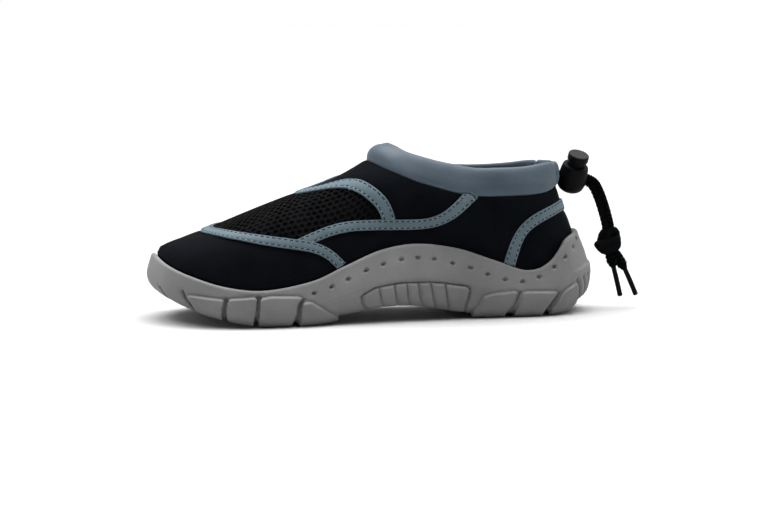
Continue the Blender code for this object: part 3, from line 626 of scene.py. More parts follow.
def cloth_finish():
    """Black stretch cloth on foam, with a fine knit and a faint navy tint."""
    made = Finish("black_stretch_knit", 0.85, Specular_IOR_Level=0.03)
    blacks = (0.0018, 0.0025, 0.0038), (0.0034, 0.0044, 0.0062)
    made.clouds(55.0, (0.35, 0.65), blacks, gloss=(0.78, 0.92))
    made.bump(made.cells(2100.0), 0.00010, 0.55)
    made.bump(made.noise(420.0, 2.0, 0.5), 0.00012, 0.25)
    return made.material


def net_finish():
    """The open knit of the vamp, a shade warmer and lighter than the cloth."""
    made = Finish("black_open_knit", 0.8, Specular_IOR_Level=0.03)
    made.clouds(70.0, (0.35, 0.65), ((0.0024, 0.0024, 0.0026), (0.0050, 0.0047, 0.0049)))
    made.bump(made.noise(2400.0, 2.0, 0.55), 0.00014, 0.8)
    return made.material


def strip_finish():
    """Blue-grey synthetic strip with a fine grain."""
    made = Finish("blue_grey_synthetic", 0.66, Specular_IOR_Level=0.25)
    blues = (0.080, 0.117, 0.138), (0.106, 0.151, 0.176)
    made.clouds(80.0, (0.32, 0.68), blues, gloss=(0.56, 0.72), detail=4.0, softness=0.6)
    made.bump(made.cells(1900.0), 0.00009, 0.55)
    made.bump(made.noise(520.0, 3.0, 0.6), 0.00012, 0.30)
    return made.material


def satin_finish():
    """The collar's satin stretch cloth, blue-grey, with a fine rib along the band."""
    sheen = {"Sheen_Weight": 0.05, "Sheen_Roughness": 0.4}
    made = Finish("blue_grey_satin_knit", 0.52, Specular_IOR_Level=0.3, **sheen)
    blues = (0.047, 0.068, 0.090), (0.064, 0.090, 0.118)
    made.clouds(48.0, (0.32, 0.68), blues, gloss=(0.46, 0.60), detail=4.0, softness=0.6)
    made.bump(made.waves(380.0, "Y", 0.6, detail_scale=3.0), 0.00005, 0.30)
    made.bump(made.cells(2600.0), 0.00006, 0.35)
    return made.material


def thread_finish():
    made = Finish("pale_blue_thread", 0.6, Specular_IOR_Level=0.3)
    twist = made.waves(900.0, "DIAGONAL", place=made.place)
    made.colour(made.mix(twist, (0.150, 0.200, 0.225), (0.240, 0.300, 0.330)))
    made.bump(twist, 0.00008, 0.6)
    return made.material


# Painted shade: a near-black finish for the sunk beads that stand in for the shadow inside each needle hole
def painted_hole_shade_finish():
    made = Finish("stitch_hole_painted_shade", 0.95, Specular_IOR_Level=0.05)
    made.colour(made.mix(made.noise(500.0), (0.006, 0.010, 0.014), (0.012, 0.018, 0.024)))
    return made.material


def foam_finish():
    made = Finish("dark_sock_lining", 0.88, Sheen_Weight=0.2)
    made.clouds(60.0, (0.3, 0.7), ((0.020, 0.020, 0.022), (0.034, 0.034, 0.037)))
    made.bump(made.cells(1500.0), 0.00016, 0.8)
    return made.material


def plastic_finish(name, low, high, grain):
    made = Finish(name, 0.5, Specular_IOR_Level=0.05)
    made.clouds(260.0, (0.3, 0.7), (low, high), gloss=(0.44, 0.60))
    made.bump(made.noise(2400.0, 2.0, 0.5), grain, 0.7)
    return made.material


def cord_finish():
    made = Finish("black_braid", 0.8, Specular_IOR_Level=0.02)
    blacks = (0.0022, 0.0026, 0.0029), (0.0056, 0.0062, 0.0068)
    fibres, _ = made.clouds(1600.0, (0.35, 0.7), blacks, softness=0.6)
    made.bump(fibres, 0.00016, 0.8)
    return made.material


def floor_finish():
    made = Finish("pale_floor", 0.75)
    clouds = made.noise(3.0, 2.0)
    made.colour(made.mix(clouds, (0.51, 0.51, 0.51), (0.53, 0.53, 0.53)))
    return made.material


# Outsole: one closed skin over the sole, with lugs, ribs, grooves and dimples pressed into it

LIP_HEIGHT = 1.9 * MM  # of the round at the top of the side
SIDE_COUNT = 54
UNDER_COUNT = 30
ROW_SPACING = 0.62 * MM
LUG_EDGE = 0.28 * MM
LUG_SHRINK = 0.20 * MM
MOAT_DEPTH = 0.46 * MM  # of the line pressed in round each lug
MOAT_OFFSET = 0.75 * MM  # from the lug's edge to that line
GAP_DEPTH = 1.9 * MM  # of the gap between two lugs
GROOVE_DEPTH = 2.0 * MM
GROOVE_CORE = 0.72  # share of that depth in the groove's narrow middle
TOE_GROOVES = 2  # how many of the grooves, the first ones, are the toe's
TOE_GROOVE_DEPTH = 1.7  # of those, share of the other grooves' depth
LUG_FULLNESS = 1.35  # relief of a lug's face, share of the solid's
WINDOW_RISE = 0.6 * MM  # of the ribbed window in the arch's side
BUMPER_RISE = 1.1 * MM  # of the bumper round the back of the heel
BUMPER_TOP = (24.4 * MM, 23.8 * MM)  # heights between which its upper edge falls away
BUMPER_ROWS = (2.2, 1.5)  # rows between which its ends fall away
DIMPLE_RADIUS = 1.35 * MM
DIMPLE_DEPTH = 2.0 * MM


# A spot on the side is a pair: the station's row, and millimetres above the tread's face,
# below 0 where it runs in under the sole

# Outlines of the lugs on the side, in order from the heel; each carries on in under the sole
LUGS = [
    [
        (2.98, 4.9), (2.50, 13.4), (2.38, 14.4), (1.95, 16.6), (1.84, 16.2), (1.74, 6.1), (1.74, -8),
        (2.98, -8),
    ],
    [
        (4.40, 2.9), (4.17, 14.4), (4.08, 15.2), (2.92, 14.6), (2.80, 14.0), (3.02, 9.3),
        (3.26, 4.2), (3.26, -14), (4.40, -14),
    ],
    [
        (5.62, 1.6), (5.34, 12.6), (5.20, 13.8), (4.98, 14.9), (4.44, 15.6), (4.36, 15.0),
        (4.46, 10.6), (4.64, 2.2), (4.64, -14), (5.62, -14),
    ],
    [
        (10.24, 13.6), (10.14, 14.4), (10.04, 13.9), (9.26, 1.4), (9.22, -3), (9.5, -13),
        (10.30, -13), (10.30, 10.2),
    ],
    [
        (11.13, 16.2), (11.06, 17.2), (10.88, 18.0), (10.34, 17.4), (10.27, 16.6), (10.36, 12.4),
        (10.42, 1.3), (10.42, -15), (11.16, -15), (11.18, 4.2),
    ],
    [
        (11.95, 11.5), (11.92, 13.0), (11.84, 14.0), (11.28, 17.0), (11.20, 16.4), (11.22, 10.9),
        (11.27, 3.8), (11.27, -15), (12.00, -15), (12.00, 3.6),
    ],
    [
        (13.00, 9.3), (12.90, 9.9), (12.10, 12.6), (12.02, 12.0), (12.06, 8.0), (12.09, 3.1),
        (12.09, -14), (12.86, -14), (12.88, 3.4),
    ],
]
# The smooth toe, which stands as far down as the lugs
SMOOTH_TOE = [(15.0, 9.0), (13.06, 9.4), (12.97, 3.2), (12.95, -13), (15.0, -13)]
# Shallow grooves on the side: each is a run of spots, and the arch's window is the last
GROOVES = [
    [(14.18, 7.2), (13.98, 3.0), (13.90, -2)],
    [(13.20, 10.6), (13.10, 6.4), (12.96, 3.0), (12.92, -4)],
    [(1.82, 18.6), (1.62, 12.0), (1.52, 5.0)],
    [(1.46, 18.8), (1.27, 12.0), (1.18, 4.0)],
    [(1.10, 18.6), (0.92, 12.0), (0.84, 3.0)],
    [(0.62, 18.4), (0.52, 12.0), (0.46, 3.0)],
    [(0.16, 18.4), (0.14, 3.0)],
    [(8.18, 14.8), (8.10, 8.0), (7.98, 0.4)],
    [(7.74, 15.0), (7.66, 8.0), (7.54, 0.4)],
    [(7.38, 15.4), (7.32, 8.0), (7.22, 0.4)],
    [(7.06, 15.8), (6.98, 8.0), (6.86, 0.4)],
    [(6.74, 16.6), (6.64, 8.0), (6.54, 0.4)],
    [(6.38, 17.4), (6.30, 8.0), (6.22, 0.4)],
    [
        (8.44, 0.2), (8.60, 6.0), (8.66, 11.4), (8.60, 12.6), (8.26, 14.9), (7.70, 15.9),
        (7.06, 16.7), (6.38, 18.4), (5.86, 18.4), (5.74, 17.6), (5.72, 15.4), (5.82, 6.1),
        (5.80, 0.2),
    ],
]
WINDOW = GROOVES[-1]
DIMPLES = [
    (9.98, 19.0), (9.50, 20.9), (9.02, 23.0), (8.50, 25.7), (8.02, 27.6), (7.50, 29.5), (7.04, 30.8),
    (6.62, 31.2), (6.18, 30.6), (5.70, 29.0), (5.22, 26.0), (4.70, 22.8), (4.18, 21.2), (3.54, 23.6),
    (2.82, 28.7), (2.26, 33.0), (1.70, 36.7), (1.24, 39.4),
]


class Pad(NamedTuple):
    back: float  # share of the sole's length
    front: float
    point: float  # how far the pad's middle runs ahead of its sides
    width: float  # share of the sole's width there


PADS = [
    Pad(0.075, 0.135, 0.018, 0.42),
    Pad(0.165, 0.235, 0.018, 0.46),
    Pad(0.640, 0.705, 0.022, 0.46),
    Pad(0.735, 0.800, 0.022, 0.48),
    Pad(0.830, 0.885, 0.020, 0.46),
]
# Low ribbed fields between the pads, set in from the tread's face
FIELDS = [
    Pad(0.255, 0.300, 0.016, 0.40),
    Pad(0.322, 0.372, 0.016, 0.38),
    Pad(0.394, 0.444, 0.016, 0.38),
    Pad(0.466, 0.516, 0.016, 0.40),
    Pad(0.538, 0.592, 0.018, 0.44),
]
FIELD_DROP = 0.9 * MM
RIB_LEVEL = 0.5  # of the tread's relief, from which a face carries the fine ribs


# The side's section by share of its height: inset of the lower edge and of the lean, as shares of the whole
EDGE_PROFILE = [(0.0, 1.0), (0.05, 0.66), (0.10, 0.42), (0.16, 0.26), (0.22, 0.14), (0.30, 0.04), (0.40, 0.0)]
LEAN_PROFILE = [(0.4, 0.0), (0.5, 0.075), (0.6, 0.20), (0.7, 0.37), (0.8, 0.57), (0.9, 0.79), (1.0, 0.98)]


def edge_distance(points, start, end):
    edge, offset = end - start, points - start
    share = np.clip(offset @ edge / max(edge @ edge, 1e-15), 0, 1)
    return np.linalg.norm(offset - share[:, None] * edge, axis=1)


def line_distance(points, corners):
    return np.min([edge_distance(points, *ends) for ends in zip(corners[:-1], corners[1:])], axis=0)


def polygon_distance(points, corners):
    """Distance from level points to a polygon's edge, below zero inside it."""
    inside = np.zeros(len(points), bool)
    for start, end in zip(corners, np.roll(corners, -1, axis=0)):
        crosses = (start[1] > points[:, 1]) != (end[1] > points[:, 1])
        rise = np.where(abs(end[1] - start[1]) < 1e-12, 1e-12, end[1] - start[1])
        inside ^= crosses & (points[:, 0] < start[0] + (points[:, 1] - start[1]) / rise * (end[0] - start[0]))
    nearest = line_distance(points, np.vstack((corners, corners[:1])))
    return np.where(inside, -nearest, nearest)


def side_inset(wall, share):
    """How far the sole's side stands in from its widest line, at a share of its height."""
    low = (EDGE_INSET - LUG_RELIEF) * np.interp(share, *np.transpose(EDGE_PROFILE))
    high = np.interp(share, *np.transpose(LEAN_PROFILE)) * wall.lean[..., None]
    return low + high + LUG_RELIEF * np.maximum(0.0, 1 - share / 0.5)


class Chart:
    """One side of the sole unrolled: the distance along its widest line and the height above the tread."""

    def __init__(self, side):
        self.rows = np.linspace(0, TOE, 601)
        self.lengths = arc_lengths(wall_at(stations_on(side, self.rows)).base)

    def place(self, row):
        return np.interp(row, self.rows, self.lengths)

    def spots(self, run):
        return np.array([(self.place(row), rise * MM) for row, rise in run])

    def lug_mask(self, points):
        nearest, second = np.full((2, len(points)), np.inf)
        for lug in LUGS:
            distance = polygon_distance(points, self.spots(lug))
            second = np.minimum(second, np.maximum(nearest, distance))
            nearest = np.minimum(nearest, distance)
        mask = smooth_step(LUG_EDGE, -LUG_EDGE, nearest + LUG_SHRINK)
        line = hump(nearest - MOAT_OFFSET, 0.5 * MM)
        between = smooth_step(2.8 * MM, 1.8 * MM, second) * (1 - mask)
        toe = self.spots(SMOOTH_TOE)
        toe[[0, -1], 0] += 5 * MM
        low = np.maximum(mask, smooth_step(0.6 * MM, -0.6 * MM, polygon_distance(points, toe)))
        return mask, low, MOAT_DEPTH * line + GAP_DEPTH * between

    def grooves(self, points):
        depth = np.zeros(len(points))
        for number, run in enumerate(GROOVES):
            distance = line_distance(points, self.spots(run))
            line = GROOVE_CORE * hump(distance, 0.52 * MM) + (1 - GROOVE_CORE) * hump(distance, 1.5 * MM)
            depth = np.maximum(depth, line * (TOE_GROOVE_DEPTH if number < TOE_GROOVES else 1.0))
        return depth * GROOVE_DEPTH

    def window(self, points):
        return smooth_step(0.4 * MM, -1.2 * MM, polygon_distance(points, self.spots(WINDOW)))

    def dimples(self, points):
        depth = np.zeros(len(points))
        for spot in self.spots(DIMPLES):
            across = np.linalg.norm((points - spot) / (1.15, 0.92), axis=1) / DIMPLE_RADIUS
            pit = np.clip(1 - across**2.6, 0, 1) ** 0.7
            lip = 0.16 * hump(across - 1.25, 0.28)
            depth = np.maximum(depth, pit) - np.where(pit > 0, 0, lip)
        return depth * DIMPLE_DEPTH


def tread_mask(points):
    """1 on the pads under the middle of the sole, less on the lower fields between them."""
    mask = np.zeros(len(points))
    for pads, drop in ((PADS, 0.0), (FIELDS, FIELD_DROP)):
        for pad in pads:
            corners = pad_corners(pad)
            inside = smooth_step(0.5 * MM, -0.5 * MM, polygon_distance(points, corners))
            mask = np.maximum(mask, inside * (1 - drop / TREAD_DEPTH))
    return mask


def pad_corners(pad):
    middle = (pad.back + pad.front) / 2
    rows = np.linspace(0, TOE, 301)
    half = []
    for side in (1, -1):
        base = wall_at(stations_on(side, rows)).base
        half.append(abs(float(np.interp(from_heel(middle), base[:, 0], base[:, 1]))) * pad.width)
    outer, inner = half
    tip = 0.5 * (outer - inner)
    shares = [(0, outer), (pad.point, tip), (0, -inner)]
    back = [(from_heel(pad.back + ahead), y) for ahead, y in shares]
    front = [(from_heel(pad.front + ahead), y) for ahead, y in shares[::-1]]
    return np.array(back + front)


def outsole_side(side, rows):
    """Points of one half of every section, from the cup's floor over the rim and down to the lower edge."""
    wall = wall_at(stations_on(side, rows))
    chart = Chart(side)
    tall = wall.rim - wall.ground
    spread = Wall(wall.base[:, None], wall.inward[:, None], wall.rim, wall.ground, wall.lean)

    floor = [(np.full(len(rows), CUP_INSET), floor_height(wall))]
    seat = rim_seat(wall) + 0.3 * MM
    shoulder = tall - LIP_HEIGHT
    outer = side_inset(wall, (shoulder / tall)[:, None])[:, 0]
    below = side_inset(wall, ((shoulder - MM) / tall)[:, None])[:, 0]
    slope = (outer - below) / MM
    corners = [
        (seat, -0.1 * LIP_HEIGHT),
        (seat - 0.10 * (seat - outer), 1.25 * LIP_HEIGHT),
        (outer + 0.75 * LIP_HEIGHT * slope, 1.10 * LIP_HEIGHT),
        (outer, 0.0),
    ]
    lip = []
    for share in np.linspace(0, 1, 10)[:-1]:
        weights = ((1 - share) ** 3, 3 * share * (1 - share) ** 2, 3 * share**2 * (1 - share), share**3)
        inset, height = (sum(w * corner[part] for w, corner in zip(weights, corners)) for part in (0, 1))
        lip.append((inset, wall.ground + shoulder + height))
    inner = [(seat, wall.ground + shoulder - 2.0 * MM)]

    rise = shoulder[:, None] * np.linspace(1.0, 0.0, SIDE_COUNT)[None, :]
    shares = rise / tall[:, None]
    along = np.repeat(chart.place(rows)[:, None], SIDE_COUNT, axis=1)
    points = np.stack((along.ravel(), rise.ravel()), -1)
    mask, low, moat = (part.reshape(rise.shape) for part in chart.lug_mask(points))
    relief = LUG_FULLNESS * LUG_RELIEF * mask + WINDOW_RISE * chart.window(points).reshape(rise.shape)
    relief -= (chart.grooves(points) + chart.dimples(points)).reshape(rise.shape) + moat
    bumper = smooth_step(*BUMPER_TOP, rise) * smooth_step(*BUMPER_ROWS, rows)[:, None]
    relief += BUMPER_RISE * bumper * smooth_step(0, 6 * MM, rise)
    inset = side_inset(wall, shares) - relief
    drop = TREAD_DEPTH * np.maximum(0.0, 1 - rise / (8 * MM)) * (1 - low)
    height = wall.ground[:, None] + rise + drop
    side_points = wall_point(spread, inset, height)

    head = [wall_point(wall, *pair) for pair in floor + inner + lip]
    return np.concatenate((np.stack(head, 1), side_points), 1), chart, wall


def outsole_underside(halves, rows):
    """Points under the sole, from each side's lower edge to the middle, and where the ribbed pads are."""
    made, ribbed = [], []
    edges = [points[:, -1] for points, _, _ in halves]
    middle = (edges[0] + edges[1]) / 2
    for edge, (_, chart, wall) in zip(edges, halves):
        shares = np.linspace(0, 1, UNDER_COUNT + 1)[1:]
        points = edge[:, None] + (middle - edge)[:, None] * shares[None, :, None]
        away = np.linalg.norm((middle - edge)[:, None, :2] * shares[None, :, None], axis=-1)
        flat = np.stack((np.repeat(chart.place(rows)[:, None], UNDER_COUNT, 1).ravel(), -away.ravel()), -1)
        lugs = chart.lug_mask(flat)[1].reshape(away.shape)
        pads = tread_mask(points.reshape(-1, 3)[:, :2]).reshape(away.shape)
        crown = 0.4 * MM * smooth_step(0, 20 * MM, away)
        face = wall.ground[:, None] + TREAD_DEPTH * (1 - np.maximum(lugs, pads))
        bare = np.maximum(lugs, pads) < 0.02
        points[..., 2] = face + np.where(bare, crown * 0.5, 0.0)
        made.append(points)
        ribbed.append(pads > RIB_LEVEL)
    return made, ribbed


def make_outsole(finish, ribbed_finish):
    guide = Chart(1)
    rows = np.interp(steps(0, guide.lengths[-1], ROW_SPACING), guide.lengths, guide.rows)
    halves = [outsole_side(side, rows) for side in (1, -1)]
    under, pads = outsole_underside(halves, rows)
    floor = (halves[0][0][:, :1] + halves[1][0][:, :1]) / 2
    lateral = np.concatenate((halves[0][0], under[0]), 1)
    medial = np.concatenate((halves[1][0], under[1][:, :-1]), 1)
    section = np.concatenate((floor, lateral, medial[:, ::-1]), 1)
    faces = grid_faces(len(rows), section.shape[1], wrap_columns=True)
    above = [np.zeros(half[0].shape[:2], bool) for half in halves]
    first = np.zeros((len(rows), 1), bool)
    ribs = np.concatenate((first, above[0], pads[0], pads[1][:, :-1][:, ::-1], above[1]), 1)
    slots = ribs.ravel()[faces].all(axis=1).astype(int)
    finishes = [finish, ribbed_finish]
    piece = make_piece("outsole_skin", section, faces, finishes, weld=4e-6, sharp=60, slots=slots)
    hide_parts("outsole")
    return piece


# Insole

INSOLE_STEP = 2.5 * MM
INSOLE_DISH = 0.5 * MM
INSOLE_WAVES = 0.12 * MM
# Its rounded edge: millimetres in from the side, and share of its thickness
INSOLE_EDGE = [(0.6, 0.0), (0.1, 0.25), (0.0, 0.6), (0.25, 0.9), (0.9, 1.0)]


def make_insole(finish):
    """The foam sock lining, a little dished, with a rounded edge."""
    edge = CUP_INSET + CUP_GAP + UPPER_WALL + 2 * GAP
    dense = np.linspace(0, TOE, 301)
    rows = even_places(wall_at(dense).base, dense, INSOLE_STEP)
    halves = []
    for side in (1, -1):
        wall = wall_at(stations_on(side, rows))
        low = floor_height(wall) + 2 * GAP
        halves.append([wall_point(wall, edge + x * MM, low + z * INSOLE_THICKNESS) for x, z in INSOLE_EDGE])
    lateral, medial = (np.stack(half, 1) for half in halves)
    across = np.linspace(0, 1, 26)[1:-1]
    top = lateral[:, -1:] + (medial[:, -1:] - lateral[:, -1:]) * across[None, :, None]
    dish = INSOLE_DISH * np.sin(math.pi * across) ** 0.5
    top[..., 2] += -dish[None] + INSOLE_WAVES * noise(top, 14 * MM, 2.0)
    bottom = medial[:, :1] + (lateral[:, :1] - medial[:, :1]) * across[None, :, None]
    section = np.concatenate((lateral, top, medial[:, ::-1], bottom), 1)
    faces = grid_faces(len(rows), section.shape[1], wrap_columns=True)
    piece = make_piece("sock_lining", section, faces, finish)
    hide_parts("insole")
    return piece


# Strips over the seams


class BandRow(NamedTuple):
    station: float
    height: float
    width: float  # share of the full width
    lift: float = 0.0  # millimetres above the upper, or below it where another strip covers this end


TOE_BAND = [
    BandRow(9.13, 0.00, 1.0),
    BandRow(9.20, 0.03, 1.0),
    BandRow(9.42, 0.11, 1.0),
    BandRow(9.80, 0.20, 1.0),
    BandRow(10.35, 0.27, 1.0),
    BandRow(11.00, 0.35, 1.0),
    BandRow(11.75, 0.46, 1.0),
    BandRow(12.30, 0.58, 1.1),
    BandRow(12.85, 0.80, 1.2),
    BandRow(13.20, 1.00, 1.3),
]
SIDE_BAND = [
    BandRow(10.30, 0.270, 1.0, -0.8),
    BandRow(9.95, 0.295, 1.0, -0.6),
    BandRow(9.50, 0.295, 1.0),
    BandRow(8.80, 0.265, 1.0),
    BandRow(8.10, 0.26, 1.0),
    BandRow(7.30, 0.27, 1.0),
    BandRow(6.75, 0.31, 1.0),
    BandRow(6.30, 0.42, 1.1),
    BandRow(5.84, 0.64, 1.2),
    BandRow(5.38, 0.90, 1.25),
    BandRow(5.15, 1.01, 1.3, -0.2),
    BandRow(5.04, 1.06, 1.3, -1.6),
]
INSTEP_BAND = [
    BandRow(7.75, 0.29, 1.3, -0.7),
    BandRow(7.77, 0.345, 1.3),
    BandRow(7.80, 0.46, 1.3),
    BandRow(8.08, 0.57, 1.35),
    BandRow(8.60, 0.635, 1.35),
    BandRow(9.35, 0.74, 1.3),
    BandRow(10.00, 0.87, 1.25),
    BandRow(10.52, 0.94, 1.3),
    BandRow(10.82, 1.00, 1.35),
]
HEEL_BAND = [
    BandRow(4.53, 0.00, 1.2),
    BandRow(4.50, 0.03, 1.2),
    BandRow(4.25, 0.28, 1.15),
    BandRow(3.90, 0.50, 1.1),
    BandRow(3.40, 0.615, 1.1, -0.1),
    BandRow(2.70, 0.655, 1.1, -0.4),
    BandRow(1.40, 0.61, 1.1, -1.25),
    BandRow(0.00, 0.52, 1.1, -1.85),
]

STRIP_THICKNESS = 1.0 * MM
STRIP_STEP = 0.85 * MM
STRIP_SPREAD = 6.0  # neighbours over which a strip's line is smoothed
STRIP_TOP = 1.06  # the height at which a strip ends under the collar
# Half of a strip's section from its edge to its middle: share of the half width, and of the thickness
STRIP_OUTLINE = [(-0.90, -0.2), (-0.985, 0.0), (-1.0, 0.35), (-0.985, 0.72), (-0.93, 0.94), (-0.84, 1.02)]
STRIP_OUTLINE += [(-0.74, 0.98), (-0.64, 0.80), (-0.54, 0.96), (-0.36, 1.06), (-0.12, 1.10)]
STITCH_ROW = 0.64  # from the middle of the strip, share of its half width
STITCH_PULL = 0.07  # of the thread on the strip, share of its thickness
STITCH_PITCH = 3.35 * MM
STITCH_LENGTH = 1.8 * MM
BAR_HEIGHTS = (0.91, 0.88)  # of the bar tack's two rows, near the side strip's upper end
THREAD_RADIUS = 0.22 * MM
THREAD_SINK = 0.02 * MM  # of a stitch into the strip's face
# The needle holes are dark sunk beads of painted shade; these give their size and placing
HOLE_RADIUS = 0.44 * MM
HOLE_LENGTH = 1.15 * MM
HOLE_SINK = 0.24 * MM
HOLE_GAP = 0.55 * MM  # by which the two holes lie further apart than the stitch is long
BAR_REACH = 0.82  # of a bar tack's row, share of the strip's half width
BAR_COUNT = 8  # needle holes in that row, with its stitches between them
BAR_STITCH = 1.25 * MM


def slopes(places, points):
    """How the upper's point moves for each unit of station and of height."""
    step = 0.004
    by_station = (upper_point(places[:, 0] + step, places[:, 1]) - points) / step
    up = np.where((row_of(places[:, 0]) < THROAT) & (places[:, 1] > 0.95), -step, step)
    by_height = (upper_point(places[:, 0], places[:, 1] + up) - points) / up[:, None]
    return np.stack((by_station, by_height), -1)


def smoothed(values, spread):
    """Values along a line, averaged over this many neighbours each way, with both ends kept."""
    reach = int(3 * spread)
    weights = np.exp(-0.5 * (np.arange(-reach, reach + 1) / spread) ** 2)
    weights /= weights.sum()
    before = 2 * values[0] - values[reach:0:-1]
    after = 2 * values[-1] - values[-2 : -reach - 2 : -1]
    longer = np.concatenate((before, values, after))
    return np.stack([np.convolve(column, weights, mode="valid") for column in longer.T], -1)


def settle(places, targets):
    """Moves places over the upper until their points lie nearest to the targets."""
    for _ in range(12):
        points = upper_point(places[:, 0], places[:, 1])
        basis = slopes(places, points)
        gram = np.einsum("nij,nik->njk", basis, basis) + 1e-9 * np.eye(2)
        push = np.einsum("nij,ni->nj", basis, targets - points)
        places[:, :2] += 0.7 * np.clip(np.linalg.solve(gram, push[..., None])[..., 0], -0.08, 0.08)
    return places


def half_path(rows):
    """Places along a strip's table at an even spacing, as far as its last row."""
    table = np.array(rows, float)
    dense = on_strip(table, np.linspace(0, len(rows) - 1, 60 * (len(rows) - 1)))
    return evened(dense, upper_point(dense[:, 0], dense[:, 1]), STRIP_STEP)


def strip_path(rows, crosses):
    """Even places along a strip, smooth in space, and the length along it at each."""
    places = half_path(rows)
    points = upper_point(places[:, 0], places[:, 1])
    if crosses:
        twin = places[-2::-1].copy()
        twin[:, 0] = LOOP - twin[:, 0]
        points = np.concatenate((points, upper_point(twin[:, 0], twin[:, 1])))
        places = np.concatenate((places, twin))
    targets = smoothed(smoothed(points, STRIP_SPREAD), STRIP_SPREAD)
    places = settle(places, targets)
    return places, arc_lengths(upper_point(places[:, 0], places[:, 1]))


def across_moves(places, points, normals):
    """How station and height change for each metre across the strip."""
    along = unit(np.gradient(points, axis=0))
    across = unit(np.cross(normals, along))
    moves = [np.linalg.lstsq(basis, way, rcond=None)[0] for basis, way in zip(slopes(places, points), across)]
    return np.array(moves), across


class Strip:
    """A strip's run over the upper, as points, ways across and normals."""

    def __init__(self, rows, crosses=False, other_side=False):
        self.places, self.lengths = strip_path(rows, crosses)
        if other_side:
            self.places[:, 0] = LOOP - self.places[:, 0]
        self.points = upper_point(self.places[:, 0], self.places[:, 1])
        self.normals = upper_normal(self.places[:, 0], self.places[:, 1])
        self.moves, self.across = across_moves(self.places, self.points, self.normals)
        self.half = 0.5 * BAND_WIDTH * self.places[:, 2]
        self.lift = self.places[:, 3] * MM

    def at(self, share, lift, index=None):
        """Points at a share of the half width, at a lift over the upper."""
        index = slice(None) if index is None else index
        reach = share * self.half[index]
        station = self.places[index, 0] + reach * self.moves[index, 0]
        height = self.places[index, 1] + reach * self.moves[index, 1]
        limit = np.where(row_of(station) >= THROAT, 2.0, STRIP_TOP)
        height = np.clip(height, -0.02, limit)
        seat = upper_point(station, height)
        normal = unit(upper_normal(station, np.clip(height, 0.0, None)) + self.normals[index])
        return seat + normal * (self.lift[index] + lift)[..., None]


def make_strip(name, strip, finish, node):
    """The strip: a thin band with rounded edges, pulled in along its two rows of stitches."""
    outline = STRIP_OUTLINE + [(-share, height) for share, height in STRIP_OUTLINE[::-1]]
    phase = np.cos(2 * math.pi * strip.lengths / STITCH_PITCH)
    section = []
    for share, height in outline:
        pull = STITCH_PULL * hump(abs(share) - STITCH_ROW, 0.14)
        lift = STRIP_THICKNESS * (height - pull * phase) + 0.05 * MM * noise(strip.points, 6 * MM, share)
        section.append(strip.at(share, lift))
    section = np.stack(section, 1)
    piece = make_piece(name, section, tube_faces(section), finish, sharp=50)
    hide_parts(node)
    return piece


def bead(centre, way, up, length, radius, sink):
    """A short rounded thread lying along its way: rings of six points between two tips."""
    side = np.cross(way, up)
    rings = []
    for share, size in ((-0.42, 0.65), (-0.26, 1.0), (0.26, 1.0), (0.42, 0.65)):
        arch = radius * (0.5 - 2.2 * share**2)
        middle = centre + way * length * share + up * (arch - sink)
        turns = np.radians(np.arange(0, 360, 60))
        rings.append([middle + radius * size * (math.cos(t) * side + 0.8 * math.sin(t) * up) for t in turns])
    tips = [centre - way * length / 2 - up * sink, centre + way * length / 2 - up * sink]
    return rings, tips


def bead_faces(first):
    """Faces of one bead whose two tips and four rings of six start at this point."""
    faces = []
    for ring in range(3):
        for corner in range(6):
            low, high = first + 2 + ring * 6, first + 8 + ring * 6
            after = (corner + 1) % 6
            faces.append((low + corner, low + after, high + after, high + corner))
    for corner in range(6):
        after = (corner + 1) % 6
        faces.append((first, first + 2 + after, first + 2 + corner))
        faces.append((first + 1, first + 20 + corner, first + 20 + after))
    return faces


class Beads:
    """Many small threads, and the dark beads of painted shade in the needle holes, gathered into one piece.
    """

    def __init__(self):
        self.points, self.faces, self.slots = [], [], []

    def add(self, centre, way, up, length, radius, sink, slot=0):
        rings, tips = bead(centre, way, up, length, radius, sink)
        first = len(self.points)
        self.points += tips + [point for ring in rings for point in ring]
        made = bead_faces(first)
        self.faces += made
        self.slots += [slot] * len(made)


def make_stitches(name, strip, thread, hole, bars):
    """Two rows of stitches, each between two needle holes drawn as dark beads of painted shade, and a bar
    tack's rows at these heights.
    """
    beads = Beads()
    for share in (-STITCH_ROW, STITCH_ROW):
        for number in range(int(strip.lengths[-1] / STITCH_PITCH)):
            index = int(np.argmin(np.abs(strip.lengths - (number + 0.5) * STITCH_PITCH)))
            if index < 1 or index > len(strip.lengths) - 2:
                continue
            near = np.array([index - 1, index, index + 1])
            seat = strip.at(share, np.full(3, 0.80 * STRIP_THICKNESS), near)
            way = unit(seat[2] - seat[0])
            up = upright(strip.normals[index], way)
            beads.add(seat[1], way, up, STITCH_LENGTH, THREAD_RADIUS, THREAD_SINK)
            # Dark beads at both ends of the stitch: painted shade of its needle holes
            for end in (-0.5, 0.5):
                centre = seat[1] + way * end * (STITCH_LENGTH + HOLE_GAP) + up * 0.03 * MM
                beads.add(centre, way, up, HOLE_LENGTH, HOLE_RADIUS, HOLE_SINK, slot=1)
    for level in bars:
        late = np.arange(len(strip.lengths) // 2, len(strip.lengths))
        seats, ups = [], []
        for share in np.linspace(-BAR_REACH, BAR_REACH, BAR_COUNT):
            heights = strip.places[late, 1] + share * strip.half[late] * strip.moves[late, 1]
            index = late[int(np.argmin(np.abs(heights - level)))]
            seats.append(strip.at(share, np.full(1, 1.02 * STRIP_THICKNESS), np.array([index]))[0])
            ups.append(strip.normals[index])
        for start, end, up in zip(seats[:-1], seats[1:], ups):
            way = unit(end - start)
            up = upright(up, way)
            beads.add((start + end) / 2, way, up, BAR_STITCH, THREAD_RADIUS, THREAD_SINK)
            # A dark bead at each needle hole of the bar tack: painted shade
            beads.add(start, way, up, 0.8 * MM, 0.8 * HOLE_RADIUS, 0.2 * MM, slot=1)
    piece = make_piece(name, beads.points, beads.faces, [thread, hole], weld=0, sharp=60, slots=beads.slots)
    return piece


# Upper

